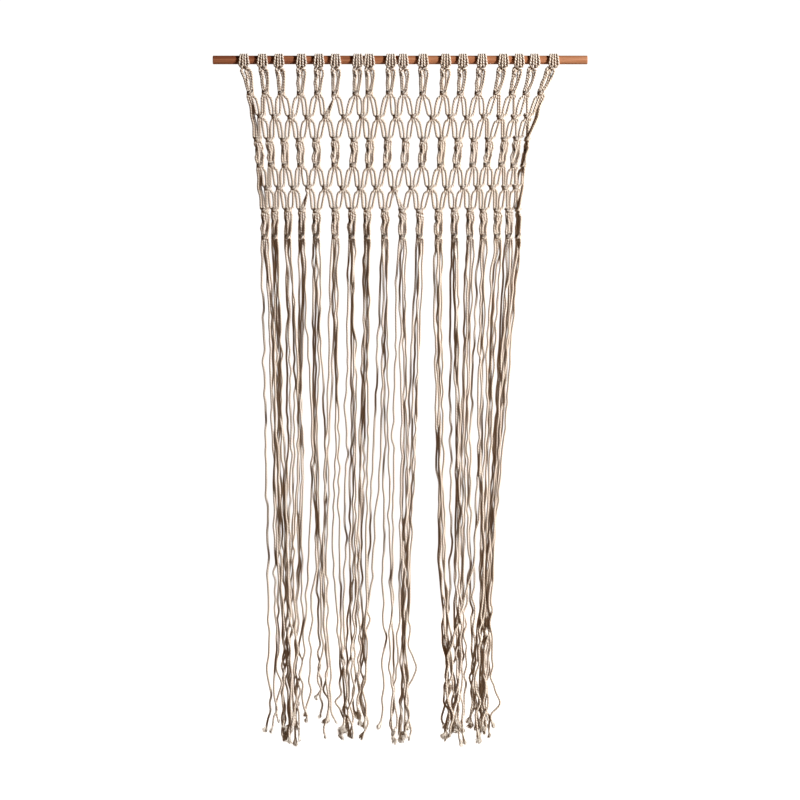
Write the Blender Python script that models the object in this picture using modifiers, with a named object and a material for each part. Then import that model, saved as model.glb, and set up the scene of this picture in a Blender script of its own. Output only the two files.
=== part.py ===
"""A macrame door curtain: a knotted net of cotton cord looped over a round wooden rod, with the loose cords
hanging from it to the floor.

Units are metres. +X runs along the rod, -Y faces the room and +Z is up. The origin is the middle of the
rod.

The curtain is knotted from doubled cords, four to a column. Each column starts in a lark's head over the
rod. Knots on the columns hold a column's own four cords, and ties between the columns hold two cords of one
and two of the next. Every cord is a strand of three sides, and every knot is a short block that the strands
run into.
"""

import math
import random
from collections import namedtuple

import bmesh
import bpy
from mathutils import Matrix, Vector

# The rod.
ROD_LENGTH = 1.080
ROD_RADIUS = 0.0125
ROD_SIDES = 24
ROD_END_BEVEL = 0.0012

# The cords. In a knot they are pressed together, and between knots they are fuller.
CORDS = 4
LEFT_PAIR = slice(0, 2)
RIGHT_PAIR = slice(2, 4)
KNOT_PITCH = 0.0050
KNOT_DEPTH = 0.0050
FREE_GIRTH = 1.12
CORD_WIDTH = KNOT_PITCH * FREE_GIRTH
CLEARANCE = 0.0003

# The lark's heads: four turns of cord over the rod, gathered into a block below it.
TURN_PITCH = 0.0074
TURN_GIRTH = 0.78
TURN_START_DEG = -45.0
TURN_SWEEP_DEG = 270.0
TURN_STEPS = 5
HEAD_TOP_Z = -0.0200
HEAD_HEIGHT = 0.0085

# The knots. A ridged one bulges half way down. Each sits a little off its place.
KNOT_HEIGHT = 0.0090
RIDGE_WIDER = 1.08
RIDGE_DEEPER = 2.1
KNOT_SWAY = 0.0010
KNOT_RISE = 0.0018

# The four cords between two knots of one column. They stand widest below the upper knot, more so on the
# right.
SENNIT_WIDEST = 0.28
SENNIT_OFFSETS = (-0.0094, -0.0036, 0.0024, 0.0114)

# The pairs of cords between a column and a tie: how far apart a pair's two cords may stand, and how far the
# pair keeps to its own side of the knot above. The pairs beside the edge pairs stay closed, and the last
# column's run straight.
LEG_WIDEST = 0.42
LEG_MARGIN = 0.0005
OTHER_PAIR_ROOM = 0.0046
Pair = namedtuple("Pair", "slit own_side")
OPEN_PAIR = Pair(0.0080, CORD_WIDTH + LEG_MARGIN)
FIRST_COLUMN_PAIR = Pair(0.0, CORD_WIDTH + LEG_MARGIN)
LAST_COLUMN_PAIR = Pair(0.0, 0.0)

# The pair at each edge of the net passes its tie at this distance, and behind it by the other.
EDGE_REACH = {-1: 0.0250, 1: 0.0240}
EDGE_BEHIND = 0.0040

# The last column has turned edge-on below its first knot, and turns part of the way back at its last.
LAST_COLUMN_TURN_DEG = 70.0
LAST_KNOT_TURN = 0.5

# The loose cords. They hang in layers, one behind another, so that they can pass each other.
STRINGS_KNOT_Z = -0.5100
STRINGS_SPREAD_Z = -0.5650
STRINGS_PITCH = 0.0062
LAYER_DEPTH = 0.0062
LAYERS = (0, -1, 1, -2, 2, -3, 3, -4, 4)
TUFT_LENGTH = 0.0170
TUFT_NECK = 0.80
TUFT_FLARE = 1.50
TIP_HIGHEST_Z = -1.9250
TIP_LOWEST_Z = -1.9800
TIP_SPLAY = 0.0040
SHORT_CORD = (4, 1)
SHORT_CORD_TIP_Z = -1.8850
SEED = 11

# A row of knots: its height, its place on the way from the rod (0) past the waist (1) to the foot (2) of
# the net, whether it ties neighbouring columns, and whether its knots are ridged.
Row = namedtuple("Row", "name z way ties ridged")
ROWS = (
    Row("collar", -0.0950, 0.47, False, False),
    Row("upper_ties", -0.1640, 0.73, True, True),
    Row("waist", -0.2290, 1.00, False, False),
    Row("hips", -0.3030, 1.38, False, False),
    Row("lower_ties", -0.3680, 1.70, True, True),
    Row("foot", -0.4330, 2.00, False, False),
)

# A column of the curtain, in millimetres along the rod: its lark's head, and its knots at the net's waist
# and foot.
Column = namedtuple("Column", "head waist foot")
COLUMNS = (
    Column(-450, -410, -390),
    Column(-397, -377, -361),
    Column(-349, -334, -323),
    Column(-285, -289, -283),
    Column(-234, -241, -241),
    Column(-186, -187, -187),
    Column(-122, -132, -138),
    Column(-89, -86, -94),
    Column(-27, -35, -44),
    Column(9, 16, 7),
    Column(66, 69, 57),
    Column(131, 121, 112),
    Column(181, 169, 158),
    Column(236, 215, 202),
    Column(298, 257, 242),
    Column(343, 303, 281),
    Column(387, 338, 315),
    Column(443, 367, 341),
)

# How a column's four loose cords fall: where each hangs at four levels, in millimetres along the rod from
# the column's foot. They gather in bunches, and a few cross over to another one.
LEVELS_Z = (-0.808, -1.125, -1.442, -1.730)
Fall = namedtuple("Fall", "high middle low lowest")
FALLS = (
    Fall((-4, 15, 22, 28), (3, 23, 29, 35), (8, 29, 36, 48), (15, 31, 39, 56)),
    Fall((1, 7, 12, 17), (6, 12, 19, 27), (14, 24, 31, 38), (23, 30, 39, 46)),
    Fall((-3, 5, 16, 24), (-2, 6, 20, 28), (-5, 3, 9, 15), (0, 7, 13, 20)),
    Fall((-9, -3, 3, 15), (-11, -5, 2, 33), (-13, -7, 0, 19), (-22, -14, -5, 3)),
    Fall((-9, -3, 5, 13), (-10, -3, 3, 27), (-1, 5, 11, 18), (-23, 7, 15, 26)),
    Fall((-18, -7, 1, 7), (-26, -20, 3, 10), (-33, -26, -7, 15), (-21, -14, 19, 26)),
    Fall((-14, -3, 3, 9), (-16, -4, 4, 10), (-20, -8, 4, 12), (-22, -14, -8, 1)),
    Fall((-13, -9, -4, 2), (-22, -16, -10, 0), (-30, -25, -18, -3), (-36, -25, -15, -4)),
    Fall((-19, -6, 0, 6), (-31, -14, -3, 10), (-44, -34, -4, 18), (-69, -59, -3, 23)),
    Fall((-21, -6, 4, 10), (-28, -7, 5, 11), (-29, -8, 1, 8), (-31, -21, -2, 4)),
    Fall((-23, -11, -6, 0), (-34, -24, -17, -12), (-46, -40, -34, -27), (-50, -43, -36, -29)),
    Fall((-10, -4, 1, 7), (-6, -1, 4, 9), (3, 7, 11, 16), (20, 25, 32, 38)),
    Fall((-13, -2, 4, 10), (-14, 4, 10, 15), (-12, -1, 5, 11), (-24, 0, 6, 12)),
    Fall((-19, -12, -6, 2), (-25, -20, -14, -8), (-31, -24, -16, -6), (-38, -30, -24, -18)),
    Fall((-30, -13, -7, -1), (-42, -18, -12, -6), (-38, -26, -6, 0), (-36, -30, -24, -17)),
    Fall((-26, -21, -16, -10), (-36, -32, -27, -20), (-69, -46, -39, -33), (-143, -62, -52, -45)),
    Fall((-28, -23, -18, -13), (-43, -39, -35, -30), (-65, -60, -56, -51), (-82, -76, -69, -65)),
    Fall((-39, -33, -27, -20), (-62, -57, -52, -47), (-85, -81, -77, -73), (-99, -93, -88, -82)),
)
MM = 0.001

Knot = namedtuple("Knot", "place top bottom")


def material(name, colour, roughness):
    """A plain Principled material."""
    made = bpy.data.materials.new(name)
    made.use_nodes = True
    shader = made.node_tree.nodes["Principled BSDF"]
    shader.inputs["Base Color"].default_value = (*colour, 1.0)
    shader.inputs["Roughness"].default_value = roughness
    shader.inputs["Metallic"].default_value = 0.0
    return made


def empty_scene():
    """Removes what the file starts with, and returns the collection that holds the curtain."""
    for obj in list(bpy.data.objects):
        bpy.data.objects.remove(obj)
    collection = bpy.data.collections.new("macrame_door_curtain")
    bpy.context.scene.collection.children.link(collection)
    return collection


def add_object(bm, name, finish, collection):
    """Makes the finished bmesh an object of the collection."""
    bmesh.ops.recalc_face_normals(bm, faces=bm.faces)
    mesh = bpy.data.meshes.new(name)
    bm.to_mesh(mesh)
    bm.free()
    mesh.materials.append(finish)
    obj = bpy.data.objects.new(name, mesh)
    collection.objects.link(obj)
    return obj


def add_rod(finish, collection):
    """The round rod, with softened ends."""
    bpy.ops.mesh.primitive_cylinder_add(
        vertices=ROD_SIDES,
        radius=ROD_RADIUS,
        depth=ROD_LENGTH,
        rotation=(0.0, math.pi / 2, 0.0),
    )
    rod = bpy.context.active_object
    rod.name = "rod"
    rod.data.materials.append(finish)
    for owner in rod.users_collection:
        owner.objects.unlink(rod)
    collection.objects.link(rod)
    ends = rod.modifiers.new("softened_ends", "BEVEL")
    ends.width = ROD_END_BEVEL
    ends.segments = 1
    ends.limit_method = "ANGLE"
    ends.angle_limit = math.radians(60)
    rod.data.shade_smooth()
    rod.data.set_sharp_from_angle(angle=math.radians(30))


def across(cord):
    """How far a cord is from the middle of its row of cords, in pitches."""
    return cord - (CORDS - 1) / 2


def cord_cells(faces):
    """The faces that carry a cord, from left to right: of a knot's strip, those with their wide side
    behind."""
    cells = [face for face in faces if face.calc_center_median().y > 0.0]
    return sorted(cells, key=lambda face: face.calc_center_median().x)


def add_knot(bm, place, height, ridged=False, top_pitch=KNOT_PITCH):
    """A knot's block, centred on its place. Its top is a strip of triangles, one for each cord with its
    point in front and one between each two. The block is that strip carried down, with a bulge half way on
    a ridged knot."""
    behind = [
        bm.verts.new(((across(cord) - 0.5) * top_pitch, KNOT_DEPTH / 2, height / 2))
        for cord in range(CORDS + 1)
    ]
    before = [
        bm.verts.new((across(cord) * top_pitch, -KNOT_DEPTH / 2, height / 2)) for cord in range(CORDS)
    ]
    faces = [bm.faces.new((behind[cord], before[cord], behind[cord + 1])) for cord in range(CORDS)]
    faces += [
        bm.faces.new((before[cord], before[cord + 1], behind[cord + 1])) for cord in range(CORDS - 1)
    ]
    top = cord_cells(faces)
    corners = behind + before

    if ridged:
        bands = ((RIDGE_WIDER, RIDGE_DEEPER), (1.0 / RIDGE_WIDER, 1.0 / RIDGE_DEEPER))
    else:
        bands = ((KNOT_PITCH / top_pitch, 1.0),)
    for wider, deeper in bands:
        edges = dict.fromkeys(edge for face in faces for edge in face.edges)
        made = bmesh.ops.extrude_face_region(bm, geom=[*faces, *edges])["geom"]
        faces = [item for item in made if isinstance(item, bmesh.types.BMFace)]
        carried = [item for item in made if isinstance(item, bmesh.types.BMVert)]
        bmesh.ops.scale(bm, vec=(wider, deeper, 1.0), verts=carried)
        bmesh.ops.translate(bm, vec=(0.0, 0.0, -height / len(bands)), verts=carried)
        corners += carried
    bottom = cord_cells(faces)
    bmesh.ops.transform(bm, matrix=place, verts=corners)
    return Knot(place, top, bottom)


def face_behind(cell):
    """The wall of the knot below the wide side of a cord's cell."""
    edge = max(cell.edges, key=lambda item: sum(vert.co.y for vert in item.verts))
    return next(face for face in edge.link_faces if face is not cell)


def add_strand(bm, place, cell, stations, onto=None, girth=FREE_GIRTH):
    """Carries a cord's section from the cell of a knot at the place through the stations, which are frames
    for the section. It joins the cord to the face `onto` of another knot, or leaves it as a free end."""
    middle = cell.calc_center_median()
    upright = place.to_3x3().inverted()
    corners = [upright @ (vert.co - middle) * girth for vert in cell.verts]
    face = cell
    for station in stations:
        face = bmesh.ops.extrude_discrete_faces(bm, faces=[face])["faces"][0]
        for vert, corner in zip(face.verts, corners):
            vert.co = station @ corner
    if onto is None:
        return
    rims = [*face.edges, *onto.edges]
    bmesh.ops.delete(bm, geom=[face, onto], context="FACES_ONLY")
    bmesh.ops.bridge_loops(bm, edges=rims)


def column_x(column, way):
    """Where a column is at a part of the way from the rod (0) past the waist (1) to the foot (2)."""
    if way <= 1.0:
        return (column.head + (column.waist - column.head) * way) * MM
    return (column.waist + (column.foot - column.waist) * (way - 1.0)) * MM


def row_places(row, sway):
    """The frames of a row's knots, from left to right."""
    middles = [column_x(column, row.way) for column in COLUMNS]
    if row.ties:
        middles = [(left + right) / 2 for left, right in zip(middles, middles[1:])]
    places = []
    for x in middles:
        z = row.z + sway.uniform(-KNOT_RISE, KNOT_RISE)
        places.append(Matrix.Translation((x + sway.uniform(-KNOT_SWAY, KNOT_SWAY), 0.0, z)))
    if row.way >= 1.0 and not row.ties:
        places[-1] = places[-1] @ Matrix.Rotation(math.radians(LAST_COLUMN_TURN_DEG), 4, "Z")
    return places


def add_lark_heads(bm):
    """The blocks under the rod, each with four turns of cord that leave its top, pass over the rod and come
    back to its rear. It returns the blocks."""
    step = TURN_SWEEP_DEG / TURN_STEPS
    inner_radius = (ROD_RADIUS + CLEARANCE) / math.cos(math.radians(step / 2))
    inward = KNOT_DEPTH * TURN_GIRTH / 3
    angles = [math.radians(TURN_START_DEG + step * index) for index in range(TURN_STEPS + 1)]
    heads = []
    for column in COLUMNS:
        place = Matrix.Translation((column.head * MM, 0.0, HEAD_TOP_Z - HEAD_HEIGHT / 2))
        head = add_knot(bm, place, HEAD_HEIGHT, top_pitch=TURN_PITCH)
        for cord, cell in enumerate(head.top):
            x = column.head * MM + across(cord) * TURN_PITCH
            seat = Matrix.Translation((x, -inner_radius - inward, 0.0))
            stations = [Matrix.Rotation(-angle, 4, "X") @ seat for angle in angles]
            add_strand(bm, place, cell, stations, face_behind(cell), TURN_GIRTH)
        heads.append(head)
    return heads


def add_sennit(bm, upper, lower):
    """The four cords between two knots of one column."""
    middle = upper.place.lerp(lower.place, SENNIT_WIDEST)
    for start, end, offset in zip(upper.bottom, lower.top, SENNIT_OFFSETS):
        add_strand(bm, upper.place, start, [middle @ Matrix.Translation((offset, 0.0, 0.0))], end)


def mean_middle(cells):
    """The point between the middles of some cells."""
    return sum((cell.calc_center_median() for cell in cells), Vector()) / len(cells)


def add_leg(bm, upper, starts, lower, ends, pair):
    """A pair of cords between a column's knot and a tie. The two cords part by the pair's slit, or by less
    where that would bring them to the other pair of either knot."""
    firsts = upper.bottom[starts]
    lasts = lower.top[ends]
    side = -1 if starts == LEFT_PAIR else 1
    middle = mean_middle(firsts).lerp(mean_middle(lasts), LEG_WIDEST)
    upper_x, lower_x = (knot.place.translation.x for knot in (upper, lower))
    middle.x = upper_x + side * max(side * (middle.x - upper_x), pair.own_side)
    room = min(abs(middle.x - upper_x), abs(middle.x - lower_x)) - OTHER_PAIR_ROOM
    apart = max((CORD_WIDTH + LEG_MARGIN) / 2, min((CORD_WIDTH + pair.slit) / 2, room))
    frame = upper.place.lerp(lower.place, LEG_WIDEST)
    frame.translation = middle
    for shift, first, last in zip((-apart, apart), firsts, lasts):
        add_strand(bm, upper.place, first, [frame @ Matrix.Translation((shift, 0.0, 0.0))], last)


def add_edge_pair(bm, upper, tie, lower, side):
    """The two cords at the net's edge, which pass the last tie and go on to the column's next knot."""
    cords = LEFT_PAIR if side < 0 else RIGHT_PAIR
    frame = upper.place.lerp(lower.place, 0.5)
    frame.translation.x = tie.place.translation.x + side * EDGE_REACH[side]
    frame.translation.y = EDGE_BEHIND
    for shift, first, last in zip((-1, 1), upper.bottom[cords], lower.top[cords]):
        offset = shift * (CORD_WIDTH + LEG_MARGIN) / 2
        add_strand(bm, upper.place, first, [frame @ Matrix.Translation((offset, 0.0, 0.0))], last)


def add_diamonds(bm, uppers, ties, lowers):
    """The open part of the net: from knots on the columns to the ties between them, and back to the
    columns."""
    for index, tie in enumerate(ties):
        left = FIRST_COLUMN_PAIR if index == 0 else OPEN_PAIR
        right = LAST_COLUMN_PAIR if index == len(ties) - 1 else OPEN_PAIR
        add_leg(bm, uppers[index], RIGHT_PAIR, tie, LEFT_PAIR, left)
        add_leg(bm, uppers[index + 1], LEFT_PAIR, tie, RIGHT_PAIR, right)
        add_leg(bm, tie, LEFT_PAIR, lowers[index], RIGHT_PAIR, left)
        add_leg(bm, tie, RIGHT_PAIR, lowers[index + 1], LEFT_PAIR, right)
    add_edge_pair(bm, uppers[0], ties[0], lowers[0], -1)
    add_edge_pair(bm, uppers[-1], ties[-1], lowers[-1], 1)


def add_net(finish, collection):
    """The whole knotted net, from the rod to the knots at its foot. It returns the frames of those
    knots."""
    sway = random.Random(SEED)
    bm = bmesh.new()
    rows = [add_lark_heads(bm)]
    for row in ROWS:
        rows.append([add_knot(bm, place, KNOT_HEIGHT, row.ridged) for place in row_places(row, sway)])
    heads, collar, upper_ties, waist, hips, lower_ties, foot = rows
    for uppers, lowers in ((heads, collar), (waist, hips)):
        for upper, lower in zip(uppers, lowers):
            add_sennit(bm, upper, lower)
    add_diamonds(bm, collar, upper_ties, waist)
    add_diamonds(bm, hips, lower_ties, foot)
    add_object(bm, "macrame_net", finish, collection)
    return [knot.place for knot in foot]


def string_routes():
    """The route of every loose cord, column by column, as its points (x, z) from the net's foot down."""
    chance = random.Random(SEED + 1)
    lean = (STRINGS_SPREAD_Z - STRINGS_KNOT_Z) / (LEVELS_Z[0] - STRINGS_KNOT_Z)
    routes = []
    for column, fall in zip(COLUMNS, FALLS):
        top_x = (column.foot + sum(fall.high) / CORDS * lean) * MM
        for cord in range(CORDS):
            route = [(top_x + across(cord) * STRINGS_PITCH, STRINGS_SPREAD_Z)]
            route += [((column.foot + shifts[cord]) * MM, z) for shifts, z in zip(fall, LEVELS_Z)]
            splay = chance.uniform(-TIP_SPLAY, TIP_SPLAY)
            route.append((route[-1][0] + splay, TIP_LOWEST_Z))
            routes.append(route)
    return routes


def keep_clear(route, other):
    """Whether two cords can hang in one layer: one stays on the same side of the other, all the way
    down."""
    gaps = [x - other_x for (x, _), (other_x, _) in zip(route, other)]
    room = CORD_WIDTH + CLEARANCE
    tuft_room = CORD_WIDTH * TUFT_FLARE + CLEARANCE
    apart = min(gaps) >= room or max(gaps) <= -room
    return apart and abs(gaps[-1]) >= tuft_room


def hang_in_layers(routes):
    """The layer of every cord: the first in which it keeps clear of the cords that hang there."""
    hung = {layer: [] for layer in LAYERS}
    layers = []
    for route in routes:
        free = next(layer for layer in LAYERS if all(keep_clear(route, other) for other in hung[layer]))
        hung[free].append(route)
        layers.append(free)
    return layers


def add_string(bm, knot, cord, route, layer, tip_z):
    """A loose cord, with a narrow neck and a wider tuft at its end."""
    y = layer * LAYER_DEPTH
    (last_x, last_z), (end_x, end_z) = route[-2:]
    neck_z = tip_z + TUFT_LENGTH
    neck_x, tip_x = (last_x + (end_x - last_x) * (z - last_z) / (end_z - last_z) for z in (neck_z, tip_z))
    stations = [Matrix.Translation((x, y, z)) for x, z in route[:-1]]
    stations.append(Matrix.Translation((neck_x, y, neck_z)) @ Matrix.Scale(TUFT_NECK, 4))
    stations.append(Matrix.Translation((tip_x, y, tip_z)) @ Matrix.Scale(TUFT_FLARE, 4, (1.0, 0.0, 0.0)))
    add_strand(bm, knot.place, knot.bottom[cord], stations)


def add_strings(foot_places, finish, collection):
    """The loose cords of each column, hanging from a last length of knotwork just below the net's foot."""
    chance = random.Random(SEED + 2)
    routes = string_routes()
    layers = hang_in_layers(routes)
    for index, foot in enumerate(foot_places):
        bm = bmesh.new()
        lowered = Matrix.Translation((0.0, 0.0, -KNOT_HEIGHT - CLEARANCE)) @ foot
        last_place = Matrix.Translation(foot.translation).lerp(foot, LAST_KNOT_TURN)
        last_place.translation.z = STRINGS_KNOT_Z + chance.uniform(-KNOT_RISE, KNOT_RISE)
        head = add_knot(bm, lowered, KNOT_HEIGHT)
        last = add_knot(bm, last_place, KNOT_HEIGHT)
        add_sennit(bm, head, last)
        for cord in range(CORDS):
            number = index * CORDS + cord
            tip_z = chance.uniform(TIP_LOWEST_Z, TIP_HIGHEST_Z)
            if (index, cord) == SHORT_CORD:
                tip_z = SHORT_CORD_TIP_Z
            add_string(bm, last, cord, routes[number], layers[number], tip_z)
        add_object(bm, f"strings_{index + 1:02d}", finish, collection)


def main():
    """Builds the rod, the net and the loose cords."""
    collection = empty_scene()
    wood = material("stained_wood", (0.42, 0.19, 0.10), 0.55)
    cotton = material("cotton_cord", (0.70, 0.61, 0.49), 0.92)
    add_rod(wood, collection)
    add_strings(add_net(cotton, collection), cotton, collection)


main()
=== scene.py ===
"""The dressed model of a macrame door curtain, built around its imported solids.

Thirty-six cotton cords are folded over a wooden rod. Each is followed here from one frayed end, up through
the knots, round the rod and down to its other end, and is made as a three-ply cord along that course.

Units are metres. +X runs along the rod, -Y faces the room and +Z is up. A point beside a knot is a Step,
whose distances across, forward and up are in millimetres, and MM turns those into metres.
"""

import logging
import math
import random
from collections.abc import Iterable
from dataclasses import dataclass, field
from enum import IntEnum
from typing import Any, NamedTuple

import bmesh
import bpy
import numpy as np
from mathutils import Matrix, Vector


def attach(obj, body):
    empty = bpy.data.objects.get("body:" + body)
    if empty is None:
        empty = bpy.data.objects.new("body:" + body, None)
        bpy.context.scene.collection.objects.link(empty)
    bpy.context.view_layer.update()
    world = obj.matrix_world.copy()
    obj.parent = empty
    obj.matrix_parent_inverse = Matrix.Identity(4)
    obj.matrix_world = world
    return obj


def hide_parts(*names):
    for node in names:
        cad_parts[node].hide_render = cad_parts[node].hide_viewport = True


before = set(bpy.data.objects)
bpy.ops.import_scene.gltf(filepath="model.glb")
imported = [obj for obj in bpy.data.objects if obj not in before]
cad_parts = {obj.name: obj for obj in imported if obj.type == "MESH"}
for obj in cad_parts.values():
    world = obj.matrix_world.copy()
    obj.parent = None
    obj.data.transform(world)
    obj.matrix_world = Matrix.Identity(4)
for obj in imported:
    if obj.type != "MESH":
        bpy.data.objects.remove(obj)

MM = 0.001
BODY = "root"
NET_NODE = "macrame_net"
Point = tuple[float, float, float]
Colour = tuple[float, float, float, float]
CordKey = tuple[int, int]
log = logging.getLogger("door_curtain")


class Seed(IntEnum):
    """The seed of each series of random draws. A series with many members adds a member's number to it."""

    ROWS = 11
    WAVES = 11
    FALLS = 12
    LAST_KNOTS = 13
    HEADS = 16
    TIPS = 18
    FIRST_RUNS = 341
    FRAYED_ENDS = 500
    LEGS = 583
    RUNS = 847


class Side(IntEnum):
    """A side of a column, as the sign of the way to it."""

    LEFT = -1
    RIGHT = 1


class Lane(IntEnum):
    """A cord's place in its column, from left to right."""

    LEFT_WORKING = 0
    LEFT_FILLER = 1
    RIGHT_FILLER = 2
    RIGHT_WORKING = 3

    @property
    def side(self) -> Side:
        """The side of the column that it is on."""
        return Side.LEFT if self <= Lane.LEFT_FILLER else Side.RIGHT

    @property
    def works(self) -> bool:
        """Whether it is an outer cord, which is tied round the two fillers."""
        return self in (Lane.LEFT_WORKING, Lane.RIGHT_WORKING)


class Step(NamedTuple):
    """A point beside a knot, in millimetres from its middle."""

    across: float
    forward: float
    up: float


def steps(*places: Point) -> tuple[Step, ...]:
    """Returns steps for places given as (across, forward, up)."""
    return tuple(Step(*place) for place in places)


class Column(NamedTuple):
    """Where a column is along the rod, in millimetres, and how far its left cords hang behind its right."""

    head: float
    waist: float
    foot: float
    lean: float


class Row(NamedTuple):
    """A row of knots: its height, its place on the way from the rod to the foot, and what it does.

    It ties columns together, or it lies below such a row, or neither.
    """

    name: str
    z: float
    way: float
    ties: bool = False
    below_ties: bool = False


class Bend(NamedTuple):
    """A bend that stands out in one loose cord.

    Its height and half height are in metres, and its reach in millimetres.
    """

    column: int
    lane: Lane
    z: float
    reach: float
    half: float

    def moved(self, point: Point) -> Point:
        """Returns a point of the cord, moved aside by the bend."""
        x, y, z = point
        return x + self.reach * MM * math.exp(-(((z - self.z) / self.half) ** 2)), y, z


class Wave(NamedTuple):
    """Gentle waves in the loose cords, in metres.

    They have a usual distance between bends, a size at the top, and what is added to it towards the bottom
    and near the tips.
    """

    period: float
    size: float
    down: float
    low: float


class Pit(NamedTuple):
    """A pit of painted shade beside a knot, in millimetres: its place and size, its depth and how tall it
    is.
    """

    across: float
    up: float
    size: float
    share: float = 1.0
    tall: float = 1.0

    def depth(self, across: np.ndarray, up: np.ndarray) -> np.ndarray:
        """Returns how deep places beside the knot lie in the pit."""
        far = ((across - self.across) ** 2 + ((up - self.up) / self.tall) ** 2) / self.size**2
        return self.share * np.exp(-far)


class Crease(NamedTuple):
    """The crease of painted shade across a knot, in millimetres: its height, rise and half width, and its
    pits.
    """

    up: float
    rise: float
    half: float
    pits: tuple[Pit, ...]
    thickness: float = 1.2
    share: float = 0.9

    def depth(self, across: np.ndarray, up: np.ndarray) -> np.ndarray:
        """Finds how deep places beside the knot lie in the crease or its pits.

        Args:
            across: How far across they are.
            up: How far up they are.

        Returns:
            Their depths, from 0 to 1.
        """
        line = self.up + self.rise * across**2
        fade = ((up - line) / self.thickness) ** 2 + (across / self.half) ** 6
        pits = (pit.depth(across, up) for pit in self.pits)
        return np.max([self.share * np.exp(-fade), *pits], axis=0)


ROWS = (
    Row("collar", -0.0950, 0.47),
    Row("upper_ties", -0.1640, 0.73, ties=True),
    Row("waist", -0.2290, 1.00, below_ties=True),
    Row("hips", -0.3030, 1.38),
    Row("lower_ties", -0.3680, 1.70, ties=True),
    Row("foot", -0.4330, 2.00, below_ties=True),
)
COLUMNS = (
    Column(-450, -410, -390, 0.3),
    Column(-397, -377, -361, 1.6),
    Column(-349, -334, -323, 1.4),
    Column(-285, -289, -283, 1.6),
    Column(-234, -241, -241, 1.3),
    Column(-186, -187, -187, 0.1),
    Column(-122, -132, -138, 1.5),
    Column(-89, -86, -94, 1.7),
    Column(-27, -35, -44, 1.0),
    Column(9, 16, 7, 0.2),
    Column(66, 69, 57, 0.5),
    Column(131, 121, 112, 0.3),
    Column(181, 169, 158, 1.3),
    Column(236, 215, 202, 0.5),
    Column(298, 257, 242, 0.6),
    Column(343, 303, 281, 0.2),
    Column(387, 338, 315, 0.7),
    Column(443, 367, 341, 1.0),
)
LEVELS_Z = (-0.600, -0.808, -1.125, -1.442, -1.730)

# How far each column's four loose cords hang from its foot at those five levels, in millimetres.
FALLS = (
    ((-8, 3, 9, 17), (-4, 15, 22, 28), (3, 23, 29, 35), (8, 29, 36, 48), (15, 31, 39, 56)),
    ((-3, 2, 7, 10), (1, 7, 12, 17), (6, 12, 19, 27), (14, 24, 31, 38), (23, 30, 39, 46)),
    ((-6, 1, 9, 14), (-3, 5, 16, 24), (-2, 6, 20, 28), (-5, 3, 9, 15), (0, 7, 13, 20)),
    ((-6, 3, 7, 11), (-9, -3, 3, 15), (-11, -5, 2, 33), (-13, -7, 0, 19), (-22, -14, -5, 3)),
    ((-8, -3, 6, 12), (-9, -3, 5, 13), (-10, -3, 3, 27), (-1, 5, 11, 18), (-23, 7, 15, 26)),
    ((-16, -6, 0, 5), (-18, -7, 1, 7), (-26, -20, 3, 10), (-33, -26, -7, 15), (-21, -14, 19, 26)),
    ((-14, -4, 1, 6), (-14, -3, 3, 9), (-16, -4, 4, 10), (-20, -8, 4, 12), (-22, -14, -8, 1)),
    ((-11, -6, 0, 4), (-13, -9, -4, 2), (-22, -16, -10, 0), (-30, -25, -18, -3), (-36, -25, -15, -4)),
    ((-14, -2, 3, 7), (-19, -6, 0, 6), (-31, -14, -3, 10), (-44, -34, -4, 18), (-69, -59, -3, 23)),
    ((-17, -5, 3, 8), (-21, -6, 4, 10), (-28, -7, 5, 11), (-29, -8, 1, 8), (-31, -21, -2, 4)),
    ((-15, -4, 1, 5), (-23, -11, -6, 0), (-34, -24, -17, -12), (-46, -40, -34, -27), (-50, -43, -36, -29)),
    ((-14, -6, 4, 10), (-10, -4, 1, 7), (-6, -1, 4, 9), (3, 7, 11, 16), (20, 25, 32, 38)),
    ((-13, -3, 2, 8), (-13, -2, 4, 10), (-14, 4, 10, 15), (-12, -1, 5, 11), (-24, 0, 6, 12)),
    ((-14, -6, 0, 7), (-19, -12, -6, 2), (-25, -20, -14, -8), (-31, -24, -16, -6), (-38, -30, -24, -18)),
    ((-19, -9, -3, 2), (-30, -13, -7, -1), (-42, -18, -12, -6), (-38, -26, -6, 0), (-36, -30, -24, -17)),
    ((-20, -12, -5, 7), (-26, -21, -16, -10), (-36, -32, -27, -20), (-69, -46, -39, -33),
     (-143, -62, -52, -45)),
    ((-18, -7, -2, 3), (-28, -23, -18, -13), (-43, -39, -35, -30), (-65, -60, -56, -51),
     (-82, -76, -69, -65)),
    ((-14, -10, -6, -2), (-39, -33, -27, -20), (-62, -57, -52, -47), (-85, -81, -77, -73),
     (-99, -93, -88, -82)),
)
BENDS = (
    Bend(0, Lane.LEFT_FILLER, -1.940, -9.0, 0.022),
    Bend(4, Lane.LEFT_FILLER, -1.815, 10.0, 0.014),
    Bend(4, Lane.LEFT_FILLER, -1.845, -6.0, 0.010),
    Bend(5, Lane.LEFT_FILLER, -1.930, 22.0, 0.030),
    Bend(5, Lane.RIGHT_FILLER, -1.850, -14.0, 0.014),
    Bend(10, Lane.RIGHT_WORKING, -1.759, 10.0, 0.030),
    Bend(13, Lane.RIGHT_WORKING, -1.456, 8.0, 0.025),
    Bend(17, Lane.RIGHT_WORKING, -1.850, 19.0, 0.032),
)

# The runs between two knots of a column that have a slit between their pairs, and those that are turned. A
# run's number is its column's, and LAST_RUNS more for the run above the last knot.
LAST_RUNS = 40
SLIT_RUNS = (0, 4, 5, 7, 8, 9, 10, 12, 16, 40, 44, 46, 49, 51)
TURNED_RUNS = (41, 42, 43, 46, 47, 48, 53)

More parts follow.
